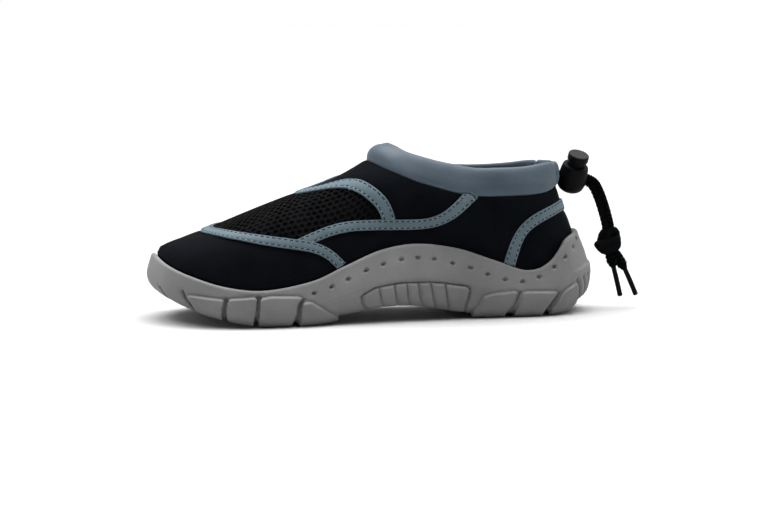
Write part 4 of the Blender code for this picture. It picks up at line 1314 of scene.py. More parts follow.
PANEL_SCALE = (20 * MM, 70 * MM)  # metres for one row and for one whole height, near enough
PANEL_DROP = 0.75 * MM
PANEL_CORNER = 10.1  # row at which the side strip leaves the toe strip
PANEL_BACK = (7.8, 0.28)  # row and height at which the instep strip leaves the side strip
PANEL_TOP = 1.15  # height past the ridge, so that the panel crosses it
STRIP_DIP = 0.40 * MM
HEEL_PULL = 1.8 * MM  # that the cloth is drawn in round the back of the heel
STRIP_REACH = 3.6 * MM
HEEL_ROWS = (1.9, 0.2)  # the rows over which that pull grows to the middle of the back
UPPER_WAVES = 0.22 * MM


def panel_outline(strips):
    """Edge of the open-knit panel: up the toe strip, down the instep strip and back on the side strip."""
    toe, side, instep = (strips[name].places for name in ("toe_band", "side_band_outer", "instep_band"))
    toe = toe[: len(toe) // 2 + 1]
    instep = instep[: len(instep) // 2 + 1]
    toe = toe[toe[:, 0] > PANEL_CORNER]
    side = side[(side[:, 0] < PANEL_CORNER) & (side[:, 0] > PANEL_BACK[0])]
    instep = instep[instep[:, 1] > PANEL_BACK[1]]
    ridge = [(toe[-1, 0], PANEL_TOP), (instep[-1, 0], PANEL_TOP)]
    return np.concatenate((toe[:, :2], ridge, instep[::-1, :2], side[::-1, :2]))


def panel_distance(station, height, outline):
    """Distance inside (below zero) or outside the open-knit panel."""
    row = row_of(station)
    points = np.stack((row.ravel() * PANEL_SCALE[0], np.ravel(height) * PANEL_SCALE[1]), -1)
    return polygon_distance(points, outline * PANEL_SCALE).reshape(row.shape)


def strip_dip(points, strips):
    """How strongly the cloth is drawn in at these points: 1 at a strip's middle line."""
    line = np.concatenate([strip.points[::3] for strip in strips])
    flat = points.reshape(-1, 3)
    nearest = np.full(len(flat), np.inf)
    for start in range(0, len(flat), 4000):
        part = flat[start : start + 4000]
        gaps = ((part[:, None, :] - line[None]) ** 2).sum(-1)
        nearest[start : start + 4000] = np.sqrt(gaps.min(1))
    nearest = nearest.reshape(points.shape[:-1])
    return hump(np.maximum(nearest - 2.2 * MM, 0), STRIP_REACH)


class Crease(NamedTuple):
    start: tuple  # station and height
    end: tuple
    depth: float  # millimetres
    width: float  # millimetres


CREASES = [
    Crease((6.9, 0.93), (7.9, 0.66), 0.35, 4.0),
    Crease((7.6, 0.95), (8.5, 0.74), 0.30, 3.5),
    Crease((4.6, 0.90), (4.2, 0.60), 0.25, 4.0),
    Crease((3.1, 0.92), (2.5, 0.76), 0.30, 3.0),
    Crease((5.6, 0.10), (5.0, 0.45), 0.25, 5.0),
    Crease((11.8, 0.10), (12.6, 0.42), 0.22, 6.0),
    Crease((13.2, 0.16), (13.8, 0.50), 0.22, 6.0),
    Crease((1.6, 0.20), (2.6, 0.42), 0.22, 5.0),
]


def crease_depth(points):
    depth = np.zeros(points.shape[:-1])
    for crease in CREASES:
        for mirror in (False, True):
            share = np.linspace(0, 1, 9)[:, None]
            run = np.array(crease.start) * (1 - share) + np.array(crease.end) * share
            stations = LOOP - run[:, 0] if mirror else run[:, 0]
            line = upper_point(stations, run[:, 1])
            gaps = np.linalg.norm(points[..., None, :] - line, axis=-1)
            near = hump(gaps.min(-1), crease.width * MM)
            fade = np.sin(math.pi * np.clip(gaps.argmin(-1) / 8, 0.08, 0.92))
            depth += crease.depth * MM * near * fade * (0.7 if mirror else 1.0)
    return depth


def make_upper(finish, strips, panel):
    """The stretch upper: padded cloth drawn in along the strips, with the panel's backing set lower."""
    stations = np.arange(0, LOOP, 0.05)
    outer = np.concatenate(((-1.0, -0.6, -0.2), np.linspace(0, 1, 58)))
    inner = np.concatenate(((-1.0, -0.5), np.linspace(0, 1, 24)))
    station, height = np.meshgrid(stations, outer, indexing="ij")
    points, normals = upper_point(station, height), upper_normal(station, height)
    above = smooth_step(0.0, 0.06, height)
    lift = -STRIP_DIP * strip_dip(points, strips) * above
    lift += UPPER_WAVES * noise(points, 17 * MM, 0.7) * above
    lift -= crease_depth(points) * above
    lift -= PANEL_DROP * smooth_step(0.0, -1.6 * MM, panel_distance(station, height, panel))
    heel = smooth_step(*HEEL_ROWS, row_of(station))
    lift -= HEEL_PULL * heel * smooth_step(0.10, 0.60, height) * smooth_step(1.08, 0.92, height)
    outside = points + normals * lift[..., None]
    station, height = np.meshgrid(stations, inner, indexing="ij")
    inside = on_upper(station, height, np.full(station.shape, -UPPER_WALL))
    tall, deep, around = len(outer), len(inner), len(stations)
    first = tall * around
    faces = [grid_faces(around, tall, wrap_rows=True)]
    faces.append(first + grid_faces(around, deep, wrap_rows=True)[:, ::-1])
    here = np.arange(around)
    there = (here + 1) % around
    faces.append(np.stack((here * tall, there * tall, first + there * deep, first + here * deep), -1))
    middle = row_of(stations + 0.025)
    here, there = here[middle < THROAT], there[middle < THROAT]
    top = (here * tall + tall - 1, there * tall + tall - 1)
    faces.append(np.stack((*top, first + there * deep + deep - 1, first + here * deep + deep - 1), -1))
    cloud = np.concatenate((outside.reshape(-1, 3), inside.reshape(-1, 3)))
    piece = make_piece("stretch_upper", cloud, np.concatenate(faces), finish, weld=2e-6, sharp=60)
    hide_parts("upper")
    return piece


# Open-knit panel

KNIT_PITCH = 3.9 * MM
KNIT_HOLE = 1.36 * MM
KNIT_CROWN = 0.10 * MM
KNIT_RIM = -0.12 * MM
KNIT_BACK = -0.62 * MM
VAMP_SPAN = (0.42, 0.945)  # shares of the sole's length between which the vamp is unrolled
VAMP_ROWS = (6.2, 14.3)
VAMP_HEIGHTS = (1.0, 0.12)
VAMP_REACH = 85 * MM  # from the ridge


class Vamp:
    """The vamp unrolled: forward position, and distance from the ridge to the outer or the inner side."""

    def __init__(self):
        self.forward = np.linspace(*map(from_heel, VAMP_SPAN), 170)
        self.reach = np.linspace(0.0, VAMP_REACH, 171)
        heights = np.linspace(*VAMP_HEIGHTS, 90)
        rows = np.linspace(*VAMP_ROWS, 190)
        self.tables = {}
        for side in (1, -1):
            grid = upper_point(stations_on(side, rows)[:, None], heights[None])
            at_row = np.stack([np.interp(self.forward, column, rows) for column in grid[..., 0].T], 1)
            points = upper_point(stations_on(side, at_row), heights[None])
            lengths = np.cumsum(np.linalg.norm(np.diff(points, axis=1), axis=2), axis=1)
            start = np.where(at_row[:, 0] < THROAT, np.abs(points[:, 0, 1]), 0.0)
            lengths = start[:, None] + np.concatenate((np.zeros((len(lengths), 1)), lengths), 1)
            row_table = [np.interp(self.reach, along, row) for along, row in zip(lengths, at_row)]
            height_table = [np.interp(self.reach, along, heights) for along in lengths]
            self.tables[side] = (np.array(row_table), np.array(height_table))

    def place(self, forward, reach):
        """Station and height at each pair; a reach below 0 is on the inner side."""
        column = np.interp(forward, self.forward, np.arange(len(self.forward)))
        across = np.interp(np.abs(reach), self.reach, np.arange(len(self.reach)))
        i = np.minimum(column.astype(int), len(self.forward) - 2)
        j = np.minimum(across.astype(int), len(self.reach) - 2)
        a, b = column - i, across - j
        found = []
        for layer in (0, 1):
            values = []
            for side in (1, -1):
                table = self.tables[side][layer]
                low = table[i, j] * (1 - b) + table[i, j + 1] * b
                high = table[i + 1, j] * (1 - b) + table[i + 1, j + 1] * b
                values.append(low * (1 - a) + high * a)
            found.append(np.where(reach >= 0, values[0], values[1]))
        row, height = found
        return np.where(reach >= 0, row, LOOP - row), height


def knit_cells(vamp, panel):
    """Centres of the knit's holes that lie inside the panel."""
    row_pitch = KNIT_PITCH * math.sqrt(3) / 2
    centres = []
    for line in range(-26, 26):
        reach = (line + 0.5) * row_pitch
        shift = 0.5 * KNIT_PITCH * (line % 2)
        for forward in np.arange(vamp.forward[0], vamp.forward[-1], KNIT_PITCH):
            centres.append((forward + shift, reach))
    centres = np.array(centres)
    station, height = vamp.place(centres[:, 0], centres[:, 1])
    return centres[(panel_distance(station, height, panel) < 1.6 * MM) & (height > 0.16)]


def make_knit(finish, panel):
    """A net of hexagonal cells with rounded holes, draped over the vamp."""
    vamp = Vamp()
    cells = knit_cells(vamp, panel)
    turns = np.radians(np.arange(30, 390, 30))
    corner = KNIT_PITCH / math.sqrt(3)
    radii = np.where(np.arange(12) % 2 == 0, corner, KNIT_PITCH / 2)
    rim = np.stack((np.cos(turns), np.sin(turns)), -1)
    outer = cells[:, None] + rim * radii[:, None]
    squash = 0.98 + 0.12 * np.sin(cells[:, :1] * 2900 + cells[:, 1:] * 4300 + turns)  # no two holes alike
    hole = cells[:, None] + rim * (KNIT_HOLE * squash)[..., None]
    keys = np.round(outer.reshape(-1, 2) / (0.02 * MM)).astype(int)
    _, first, names = np.unique(keys, axis=0, return_index=True, return_inverse=True)
    names = names.reshape(-1, 12)
    shared = outer.reshape(-1, 2)[first]
    count, holes = len(shared), hole.reshape(-1, 2)
    flat = np.vstack((shared, holes))
    station, height = vamp.place(flat[:, 0], flat[:, 1])
    seat, normal = upper_point(station, height), upper_normal(station, height)
    lifts = np.concatenate((np.full(count, KNIT_CROWN), np.full(len(holes), KNIT_RIM)))
    top = seat + normal * lifts[:, None]
    back = seat + normal * KNIT_BACK
    total = len(flat)
    faces, edges = [], {}
    for cell in range(len(cells)):
        for turn in range(12):
            after = (turn + 1) % 12
            a, b = names[cell, turn], names[cell, after]
            c, d = count + cell * 12 + after, count + cell * 12 + turn
            faces.append((a, b, c, d))
            faces.append((total + b, total + a, total + d, total + c))
            faces.append((d, c, total + c, total + d))
            edges.setdefault((min(a, b), max(a, b)), []).append((a, b))
    for found in edges.values():
        if len(found) == 1:
            a, b = found[0]
            faces.append((b, a, total + a, total + b))
    piece = make_piece("open_knit_panel", np.vstack((top, back)), faces, finish, weld=0, sharp=75)
    return piece


# Collar

COLLAR_SEAM = 1.34  # the row at which the band's hemmed end starts, from the middle of the back
COLLAR_ROUND = 2.4 * MM
COLLAR_CROWN = 2.2 * MM  # that the padding swells out over the instep
CROWN_TURN = -0.15  # radians round the section from its outer side to that swelling
CROWN_ROWS = (7.2, 8.9)  # the rows over which it grows
SEAM_DEPTH = 1.1 * MM
SEAM_WIDTH = 1.1 * MM
ROW_LENGTH = 13.9  # millimetres along the collar for one row at its seam


def make_collar(finish):
    """The padded band: stretch cloth over foam, drawn in along its lower edge and at the two hemmed ends."""
    count = len(COLLAR_RING)
    dense = np.linspace(COLLAR_END, count - COLLAR_END, 1200)
    line = on_ring(COLLAR_RING, dense)[:, :3]
    places = even_places(line, dense, 0.7 * MM)
    lengths = arc_lengths(on_ring(COLLAR_RING, places)[:, :3])
    values = on_ring(COLLAR_RING, places)
    into = unit(smoothed(inward(COLLAR_RING, places), 9.0))
    tilt = np.radians(values[:, 3])[:, None]
    rise = np.cos(tilt) * UP + np.sin(tilt) * into
    out = np.cos(tilt) * -into + np.sin(tilt) * UP
    half_band = 0.5 * values[:, 4] * COLLAR_BAND
    low = values[:, :3] + rise * GAP
    centre = low + rise * half_band[:, None] - out * 0.5 * UPPER_WALL
    from_end = np.minimum(lengths, lengths[-1] - lengths)
    cap = np.sqrt(np.clip(1 - (1 - np.clip(from_end / COLLAR_ROUND, 0.02, 1)) ** 2, 0, 1))
    turns = full_turn(52)
    up, side = squared(np.sin(turns), 0.88), squared(np.cos(turns), 0.92)
    bulge = 1 + 0.10 * np.cos(turns) * np.clip(-np.sin(turns), 0, 1)
    section = centre[:, None] + rise[:, None] * (half_band * cap)[:, None, None] * up[None, :, None]
    half_thick = (0.5 * COLLAR_THICKNESS * cap)[:, None, None]
    section = section + out[:, None] * half_thick * (side * bulge)[None, :, None]
    away = unit(section - centre[:, None])
    ring_row = np.minimum(places, count - places)[:, None]
    seam_offset = (ring_row - COLLAR_SEAM) * ROW_LENGTH * MM / SEAM_WIDTH
    seam = SEAM_DEPTH * hump(seam_offset, 1.0) - 0.25 * MM * hump(seam_offset + 1.9, 1.0)
    soft = 0.14 * MM * noise(section, 19 * MM, 1.9) + 0.035 * MM * noise(section, 6 * MM, 0.4)
    front = smooth_step(*CROWN_ROWS, ring_row)
    swell = np.angle(np.exp(1j * (turns - CROWN_TURN)))
    crown = COLLAR_CROWN * (hump(swell, 0.60) - 0.28 * hump(turns - 1.0, 0.9))
    section = section + away * (soft - seam + front * crown)[..., None] * cap[:, None, None]
    uvs = np.stack(np.broadcast_arrays(lengths[:, None], turns[None] / math.pi * COLLAR_BAND), -1)
    piece = make_piece("padded_collar", section, tube_faces(section), finish, uvs=uvs, sharp=60)
    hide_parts("collar")
    return piece


# Cord lock

LOCK_SIDES = 72
LOCK_SHARP = 38  # degrees from which an edge is drawn sharp
BORE_FOOT = 0.78  # depth of the bore under the lock's middle, share of its half height
BARREL_FULLNESS = 1.04  # the barrel's radius, share of the solid's


def lock_frame():
    """Axis of the lock, the way that the cord runs through it, and the third direction."""
    back, out = math.radians(LOCK_LEAN_BACK), math.radians(LOCK_LEAN_OUT)
    axis = unit(np.array((-math.sin(back), math.sin(out), math.cos(back) * math.cos(out))))
    through = np.array((-1.0, 0.0, 0.0))
    through = upright(through, axis)
    return axis, through, np.cross(axis, through)


def in_lock(points):
    axis, through, side = lock_frame()
    return np.array(LOCK_CENTRE) + np.asarray(points, float) @ np.array((through, side, axis))


def smooth_profile(profile, per_step=5):
    return on_strip(profile, np.linspace(0, len(profile) - 1, per_step * (len(profile) - 1) + 1))


def revolved(name, profile, finish, body="shoe"):
    turns = full_turn(LOCK_SIDES)
    radius, height = np.array(profile, float).T[..., None]
    radius = np.maximum(radius, 0.0)
    parts = np.broadcast_arrays(radius * np.cos(turns), radius * np.sin(turns), height)
    faces = grid_faces(len(profile), LOCK_SIDES, wrap_columns=True)
    return make_piece(name, in_lock(np.stack(parts, -1)), faces, finish, body=body, sharp=LOCK_SHARP)


def cut_slot(piece, reach, high):
    """Cuts the cord's slot through a piece of the lock, this far each way and up to this height."""
    sides = ((-reach, reach), (-SLOT_WIDTH / 2, SLOT_WIDTH / 2), (-SLOT_HEIGHT / 2, high))
    points = in_lock([(x, y, z) for x in sides[0] for y in sides[1] for z in sides[2]])
    faces = [(0, 1, 3, 2), (4, 6, 7, 5), (0, 4, 5, 1), (2, 3, 7, 6), (0, 2, 6, 4), (1, 5, 7, 3)]
    mesh = bpy.data.meshes.new("cutter")
    mesh.from_pydata([tuple(point) for point in points], [], faces)
    cutter = add_object("cutter", mesh)
    step = piece.modifiers.new("slot", "BOOLEAN")
    step.operation = "DIFFERENCE"
    step.solver = "EXACT"
    step.object = cutter
    graph = bpy.context.evaluated_depsgraph_get()
    made = bpy.data.meshes.new_from_object(piece.evaluated_get(graph))
    piece.modifiers.clear()
    piece.data = made
    bpy.data.objects.remove(cutter, do_unlink=True)
    made.shade_smooth()
    made.set_sharp_from_angle(angle=math.radians(LOCK_SHARP))


SLOT_WIDTH = CORD_DIAMETER + 2 * RUNNING_GAP
SLOT_HEIGHT = 2 * CORD_DIAMETER + 3 * RUNNING_GAP


def make_lock(finish):
    half, radius = LOCK_HEIGHT / 2, BARREL_FULLNESS * LOCK_RADIUS
    bore = PLUNGER_RADIUS + RUNNING_GAP
    shares = [(0.0, -1.0), (0.36, -0.965), (0.64, -0.865), (0.88, -0.63), (1.0, -0.22)]
    shares += [(1.0, 0.12), (0.96, 0.46), (0.92, 0.76), (0.89, 0.92)]
    outside = smooth_profile([(radius * share, half * level) for share, level in shares])
    rim = [(0.87 * radius, 0.975 * half), (0.83 * radius, half)]
    mouth = [(bore + 0.3 * MM, half), (bore, half - 0.3 * MM)]
    bottom = -BORE_FOOT * half
    profile = [*outside, *rim, *mouth, (bore, bottom), (0.0, bottom)]
    piece = revolved("cord_lock_body", profile, finish)
    cut_slot(piece, 1.5 * LOCK_RADIUS, SLOT_HEIGHT / 2)
    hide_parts("cord_lock_barrel")
    return piece


def make_plunger(finish, lit_top_painted_finish):
    half = LOCK_HEIGHT / 2
    foot = -BORE_FOOT * half + PLUNGER_TRAVEL + 2 * RUNNING_GAP
    under = half + PLUNGER_TRAVEL + RUNNING_GAP
    top = under + CAP_THICKNESS
    stem = [(0.0, foot), (PLUNGER_RADIUS - 0.3 * MM, foot), (PLUNGER_RADIUS, foot + 0.3 * MM)]
    # The cap's edge in millimetres: in from its radius, and up from its underside or down from its top
    lower = [(0.7, 0), (0.15, 0.25), (0, 0.9)]
    upper = [(0, 1.0), (0.12, 0.45), (0.5, 0.1), (1.0, 0), (1.5, 0.12)]
    cap = [(CAP_RADIUS - inset * MM, under + rise * MM) for inset, rise in lower]
    cap += [(CAP_RADIUS - inset * MM, top - drop * MM) for inset, drop in upper]
    profile = [*stem, (PLUNGER_RADIUS, under), *cap, (0.0, top - 0.25 * MM)]
    piece = revolved("cord_lock_button", profile, finish, body="plunger")
    cut_slot(piece, 2 * PLUNGER_RADIUS, SLOT_HEIGHT / 2 + PLUNGER_TRAVEL + RUNNING_GAP)
    piece.data.materials.append(lit_top_painted_finish)
    # Painted light: the cap's top face takes a lighter copy of the black plastic, where light from above
    # falls on it; the rest keeps the plain black plastic
    axis = lock_frame()[0]
    for polygon in piece.data.polygons:
        level = float(np.dot(np.array(polygon.center) - np.array(LOCK_CENTRE), axis))
        polygon.material_index = int(level > top - 0.5 * MM)
    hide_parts("cord_lock_plunger")
    return piece


# Drawcord

STRAND_REACHES = (-0.0076, -0.004, 0.0, 0.004, 0.0088)


class StrandRow(NamedTuple):
    x: float
    y: float
    z: float
    aside_x: float  # the way from the lower strand to the upper one
    aside_z: float


STRAND_TAIL = [
    StrandRow(-0.1355, 0.0010, 0.0750, -0.75, 0.66),
    StrandRow(-0.1385, 0.0015, 0.0695, -0.90, 0.43),
    StrandRow(-0.1407, 0.0020, 0.0635, -0.95, 0.30),
    StrandRow(-0.1426, 0.0025, 0.0572, -0.97, 0.24),
    StrandRow(-0.1443, 0.0030, 0.0499, -1.00, 0.00),
    StrandRow(-0.1448, 0.0030, 0.0430, -1.00, 0.00),
    StrandRow(-0.1456, 0.0030, 0.0380, -1.00, 0.10),
]
END_FRONT = [(-0.1462, 0.0034, 0.0314), (-0.1470, 0.0036, 0.0280), (-0.1479, 0.0038, 0.0250)]
END_BACK = [(-0.1496, 0.0022, 0.0327), (-0.1526, 0.0020, 0.0281), (-0.1554, 0.0020, 0.0236)]
TIP_FRONT = [(-0.1480, 0.0038, 0.0246), (-0.1503, 0.0040, 0.0155), (-0.1524, 0.0040, 0.0068)]
TIP_BACK = [(-0.1557, 0.0020, 0.0232), (-0.1595, 0.0020, 0.0150), (-0.1630, 0.0020, 0.0070)]
BRAID_CARRIERS = 5
END_FULLNESS = 0.56  # how much thicker the cut ends are below the knot
FULLER_HEIGHTS = (0.037, 0.031)  # between which they grow thicker
BRAID_PITCH = 2.9 * MM
BRAID_RELIEF = 0.62
TOOTH_PITCH = 1.45 * MM  # of the small teeth along the cord's edges
TOOTH_SHARE = 0.22
TIP_OVERLAP = 1.3 * MM  # that a tip runs up into its cord's end


def strand_route(lift, end):
    axis, through, _ = lock_frame()
    spacing = (CORD_DIAMETER + RUNNING_GAP) / 2
    inside = [np.array(LOCK_CENTRE) + axis * lift * spacing + through * reach for reach in STRAND_REACHES]
    tail = [np.array(row[:3]) + spacing * lift * unit(np.array((row[3], 0.0, row[4]))) for row in STRAND_TAIL]
    return np.array(inside + tail + [np.array(point) for point in end])


def even_route(route, spacing):
    places = np.linspace(0, len(route) - 1, 40 * (len(route) - 1) + 1)
    return on_strip(route, even_places(on_strip(route, places), places, spacing))


def rings_round(points, turns, radius):
    """Rings of points square to a line, at these angles and radii."""
    _, side, up = frames_along(points, np.array((0.0, 1.0, 0.2)))
    ring = np.cos(turns)[None, :, None] * side[:, None] + np.sin(turns)[None, :, None] * up[:, None]
    return points[:, None] + ring * radius[..., None]


def braided_tube(points, diameter, sides=30, taper=None, relief=BRAID_RELIEF):
    """Rings of points round a line, with the lumps of a round braid."""
    lengths = arc_lengths(points)
    turns = full_turn(sides)
    twist = 2 * math.pi * lengths[:, None] / BRAID_PITCH
    first = np.abs(np.cos((BRAID_CARRIERS * turns[None] + twist) / 2))
    second = np.abs(np.cos((BRAID_CARRIERS * turns[None] - twist) / 2))
    lumps = np.maximum(first, second) - 0.75
    teeth = TOOTH_SHARE * np.cos(2 * math.pi * lengths[:, None] / TOOTH_PITCH + 2 * turns[None])
    radius = 0.5 * diameter * (1.07 + relief * (2 * lumps + teeth))
    if taper is not None:
        radius = radius * taper[:, None]
    return rings_round(points, turns, radius)


def make_strand(name, lift, end, nodes, finish):
    route = even_route(strand_route(lift, end), 0.30 * MM)
    left = arc_lengths(route)[-1] - arc_lengths(route)
    fuller = smooth_step(*FULLER_HEIGHTS, route[:, 2]) * smooth_step(0.0, 3.5 * MM, left)
    rings = braided_tube(route, CORD_DIAMETER, taper=1 + END_FULLNESS * fuller)
    piece = make_piece(name, rings, tube_faces(rings), finish, weld=0, sharp=80)
    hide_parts(*nodes)
    return piece, route


# The knot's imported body: a fat diagonal wrap of the doubled cord, in millimetres from the knot's centre
KNOT_BODY = (-0.6, -0.3, -2.4)
KNOT_HALVES = (7.7, 4.9, 5.3)  # half widths along, through and across the wrap
KNOT_SLANT = math.radians(20)  # that the wrap climbs away from the shoe
# The bights that stand up beside the body, as runs from the knot's centre in millimetres
KNOT_BIGHTS = [
    [
        (1.2, 0.6, -1.0), (0.7, 1.0, 3.0), (-0.5, 1.2, 5.6), (-2.8, 1.0, 6.9), (-4.8, 0.4, 5.4),
        (-5.4, 0.0, 2.2), (-4.6, 0.0, -1.0),
    ],
    [
        (4.6, -0.8, -2.0), (4.3, -0.6, 1.0), (3.4, -0.4, 4.2), (1.7, 0.0, 6.0), (0.4, 0.2, 5.0),
        (0.2, 0.4, 2.0),
    ],
]


def knot_body():
    """A full, rounded block pressed in by the line between its two cords."""
    rise = np.linspace(0.05, math.pi - 0.05, 40)[:, None]
    turns = full_turn(48)
    run, out = squared(np.cos(rise), 0.62), np.sin(rise) ** 0.50
    across, through = squared(np.cos(turns), 0.86) * out, squared(np.sin(turns), 0.86) * out
    seam = 1 - 0.15 * hump(across, 0.20) - 0.03 * np.abs(np.sin(13 * run + 6 * across))
    long, deep, tall = KNOT_HALVES
    way = np.array((-math.cos(KNOT_SLANT), 0.0, math.sin(KNOT_SLANT)))
    up = np.array((math.sin(KNOT_SLANT), 0.0, math.cos(KNOT_SLANT)))
    # Wider at the top, so that the ends lean out
    run = run * (1 + 0.22 * across) + 0.06 * np.clip(-across, 0, 1)
    body = run[..., None] * long * way + (across * tall)[..., None] * up
    return np.array(KNOT_BODY) + body + (through * seam * deep)[..., None] * np.array((0.0, 1.0, 0.0))


def make_knot(finish):
    """An overhand knot in the doubled cord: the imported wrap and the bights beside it."""
    body = np.array(KNOT_CENTRE) + knot_body() * MM
    points, faces = list(body.reshape(-1, 3)), tube_faces(body)
    for bight in KNOT_BIGHTS:
        line = np.array(KNOT_CENTRE) + even_route(bight, 0.3) * MM
        rings = braided_tube(evened(line, line, 0.35 * MM), 1.22 * CORD_DIAMETER, relief=0.35 * BRAID_RELIEF)
        faces += tube_faces(rings, first=len(points))
        points += list(rings.reshape(-1, 3))
    piece = make_piece("overhand_knot", np.array(points), faces, finish, weld=0, sharp=80)
    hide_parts("drawcord_knot")
    return piece


def make_tip(name, route, node, finish):
    """A crimped cord tip: a smooth tube with two pressed rings and a rounded end."""
    points = np.array(route)
    points[0] += unit(points[0] - points[1]) * TIP_OVERLAP
    points = even_route(points, 0.35 * MM)
    lengths = arc_lengths(points)
    share = lengths / lengths[-1]
    radius = 0.5 * TIP_DIAMETER * (1.16 + 0.06 * smooth_step(0.90, 0.97, share))
    radius -= 0.10 * MM * (hump(share - 0.12, 0.03) + hump(share - 0.24, 0.03))
    end = np.clip((lengths[-1] - lengths) / (0.9 * MM), 0.05, 1)
    radius *= np.sqrt(1 - (1 - end) ** 2)
    rings = rings_round(points, full_turn(24), radius[:, None])
    piece = make_piece(name, rings, tube_faces(rings), finish, weld=0, sharp=60)
    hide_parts(node)
    return piece


# Stage


def make_floor(finish):
    mesh = bpy.data.meshes.new("floor")
    mesh.from_pydata([(-20, -20, 0), (20, -20, 0), (20, 20, 0), (-20, 20, 0)], [], [(0, 1, 2, 3)])
    mesh.materials.append(finish)
    add_object("floor", mesh)


KEY_PLACE = (0.9, 0.9, 1.6)
KEY_AIM = (0.0, 0.0, 0.04)
KEY_SIZE = 0.7
KEY_POWER = 5


def add_light():
    data = bpy.data.lights.new("key", "AREA")
    data.size = KEY_SIZE
    data.energy = KEY_POWER
    light = add_object("key", data)
    light.location = KEY_PLACE
    light.rotation_euler = (Vector(KEY_AIM) - Vector(KEY_PLACE)).to_track_quat("-Z", "Y").to_euler()


VIEW_AZIMUTH = 169.0
VIEW_ELEVATION = 6.2
VIEW_DISTANCE = 1.25
VIEW_AIM = (0.0, 0.0, 0.045)
VIEW_LENS = 99.0
FRAME_WIDTH = 768
AIM_OFFSET = (12, -18)  # pixels from the aim's place in the photograph to the frame's middle


def add_camera():
    azimuth, elevation = math.radians(VIEW_AZIMUTH), math.radians(VIEW_ELEVATION)
    level = math.cos(elevation)
    out = Vector((math.sin(azimuth) * level, -math.cos(azimuth) * level, math.sin(elevation)))
    data = bpy.data.cameras.new("camera")
    data.sensor_width = 36.0
    data.lens = VIEW_LENS
    data.shift_x = AIM_OFFSET[0] / FRAME_WIDTH
    data.shift_y = AIM_OFFSET[1] / FRAME_WIDTH
    camera = add_object("camera", data)
    camera.location = Vector(VIEW_AIM) + out * VIEW_DISTANCE
    camera.rotation_euler = out.to_track_quat("Z", "Y").to_euler()
    bpy.context.scene.camera = camera


# Brightness of the surroundings by the sine of the height over the horizon: a white backdrop below and a
# soft ceiling light
SKY = [(0.0, 1.0), (0.16, 1.0), (0.32, 0.30), (0.66, 0.30), (0.88, 4.4), (1.0, 4.4)]
DARK_WALL = (0.19, 0.98, 0.0)  # the way to the studio's dark wall
# Share of that brightness by how nearly a way runs to the dark wall: white behind, brighter at the sides
WALLS = [(-1.0, 1.0), (-0.72, 1.0), (-0.40, 1.8), (-0.05, 1.8), (0.42, 0.10), (1.0, 0.10)]


def table_of(tree, value, table):
    """A node output that follows a table of (value, result) pairs, straight between them."""
    total = None
    for (low, first), (high, second) in zip(table[:-1], table[1:]):
        step = tree.nodes.new("ShaderNodeMapRange")
        tree.links.new(value, step.inputs["Value"])
        for name, number in zip(RAMP_SOCKETS, (low, high, 0.0, second - first)):
            step.inputs[name].default_value = number
        added = tree.nodes.new("ShaderNodeMath")
        added.operation = "ADD"
        tree.links.new(step.outputs[0], added.inputs[0])
        if total is None:
            added.inputs[1].default_value = table[0][1]
        else:
            tree.links.new(total, added.inputs[1])
        total = added.outputs[0]
    return total


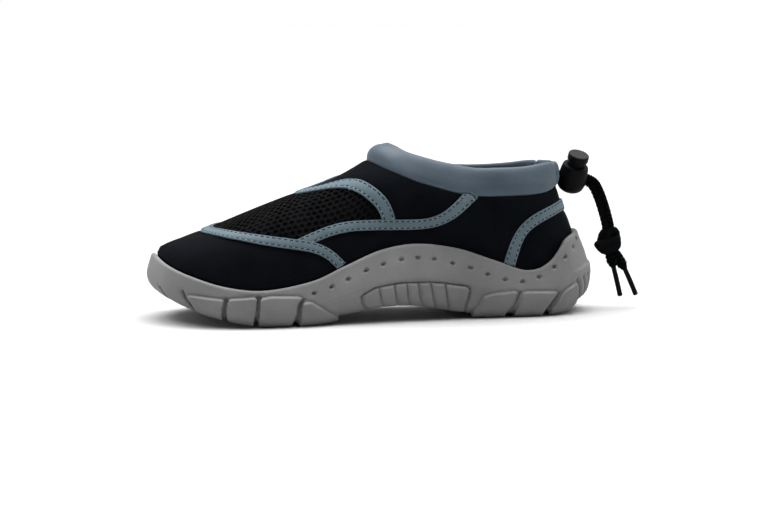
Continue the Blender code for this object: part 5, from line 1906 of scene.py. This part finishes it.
def light_scene():
    bpy.context.scene.view_settings.view_transform = "Standard"
    world = bpy.context.scene.world or bpy.data.worlds.new("world")
    bpy.context.scene.world = world
    world.use_nodes = True
    tree = world.node_tree
    back = tree.nodes["Background"]
    back.inputs["Color"].default_value = (1.0, 1.0, 1.0, 1.0)
    way = tree.nodes.new("ShaderNodeTexCoord").outputs["Generated"]
    parts = tree.nodes.new("ShaderNodeSeparateXYZ")
    tree.links.new(way, parts.inputs[0])
    toward = tree.nodes.new("ShaderNodeVectorMath")
    toward.operation = "DOT_PRODUCT"
    tree.links.new(way, toward.inputs[0])
    toward.inputs[1].default_value = DARK_WALL
    product = tree.nodes.new("ShaderNodeMath")
    product.operation = "MULTIPLY"
    tree.links.new(table_of(tree, parts.outputs["Z"], SKY), product.inputs[0])
    tree.links.new(table_of(tree, toward.outputs["Value"], WALLS), product.inputs[1])
    tree.links.new(product.outputs[0], back.inputs["Strength"])
    add_light()


PLASTICS = [
    ("black_moulded_plastic", (0.0022, 0.0025, 0.0030), (0.0042, 0.0046, 0.0055), 0.00006),
    # The button's pair is much lighter than the other black plastics: painted light for the lit top face of
    # the cap, over the same black plastic
    ("button_top_painted_light_plastic", (0.0240, 0.0250, 0.0270), (0.0360, 0.0370, 0.0395), 0.00008),
    ("black_tip_plastic", (0.0022, 0.0024, 0.0027), (0.0044, 0.0047, 0.0052), 0.00003),
]


def main():
    rubber = rubber_finish()
    cloth = cloth_finish()
    strip_cloth = strip_finish()
    thread = thread_finish()
    # hole is the near-black finish of the painted shade in the needle holes
    hole = painted_hole_shade_finish()
    # cap is the lighter finish painted on the lit top face of the button, a painted highlight over the black
    # plastic
    plastic, cap, tip_plastic = (plastic_finish(*row) for row in PLASTICS)
    braid = cord_finish()
    make_floor(floor_finish())

    make_outsole(rubber, rubber_finish("ribbed_rubber", ribbed=True))
    make_insole(foam_finish())
    strips = {
        "toe_band": Strip(TOE_BAND, crosses=True),
        "side_band_outer": Strip(SIDE_BAND),
        "side_band_inner": Strip(SIDE_BAND, other_side=True),
        "instep_band": Strip(INSTEP_BAND, crosses=True),
        "heel_band": Strip(HEEL_BAND, crosses=True),
    }
    panel = panel_outline(strips)
    make_upper(cloth, strips.values(), panel)
    make_knit(net_finish(), panel)
    for name, strip in strips.items():
        make_strip(f"{name}_strip", strip, strip_cloth, name)
        bars = BAR_HEIGHTS if name.startswith("side") else ()
        make_stitches(f"{name}_stitches", strip, thread, hole, bars=bars)
    make_collar(satin_finish())
    make_lock(plastic)
    # The second finish is painted light on the top face of the cap
    make_plunger(plastic, cap)

    back_nodes = ["drawcord_upper", "drawcord_end_back"]
    front_nodes = ["drawcord_lower", "drawcord_end_front"]
    back = make_strand("drawcord_back_strand", 1, END_BACK, back_nodes, braid)
    front = make_strand("drawcord_front_strand", -1, END_FRONT, front_nodes, braid)
    knot = make_knot(braid)
    tip_back = make_tip("cord_tip_back", TIP_BACK, "drawcord_tip_back", tip_plastic)
    tip_front = make_tip("cord_tip_front", TIP_FRONT, "drawcord_tip_front", tip_plastic)

    light_scene()
    add_camera()
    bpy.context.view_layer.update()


main()
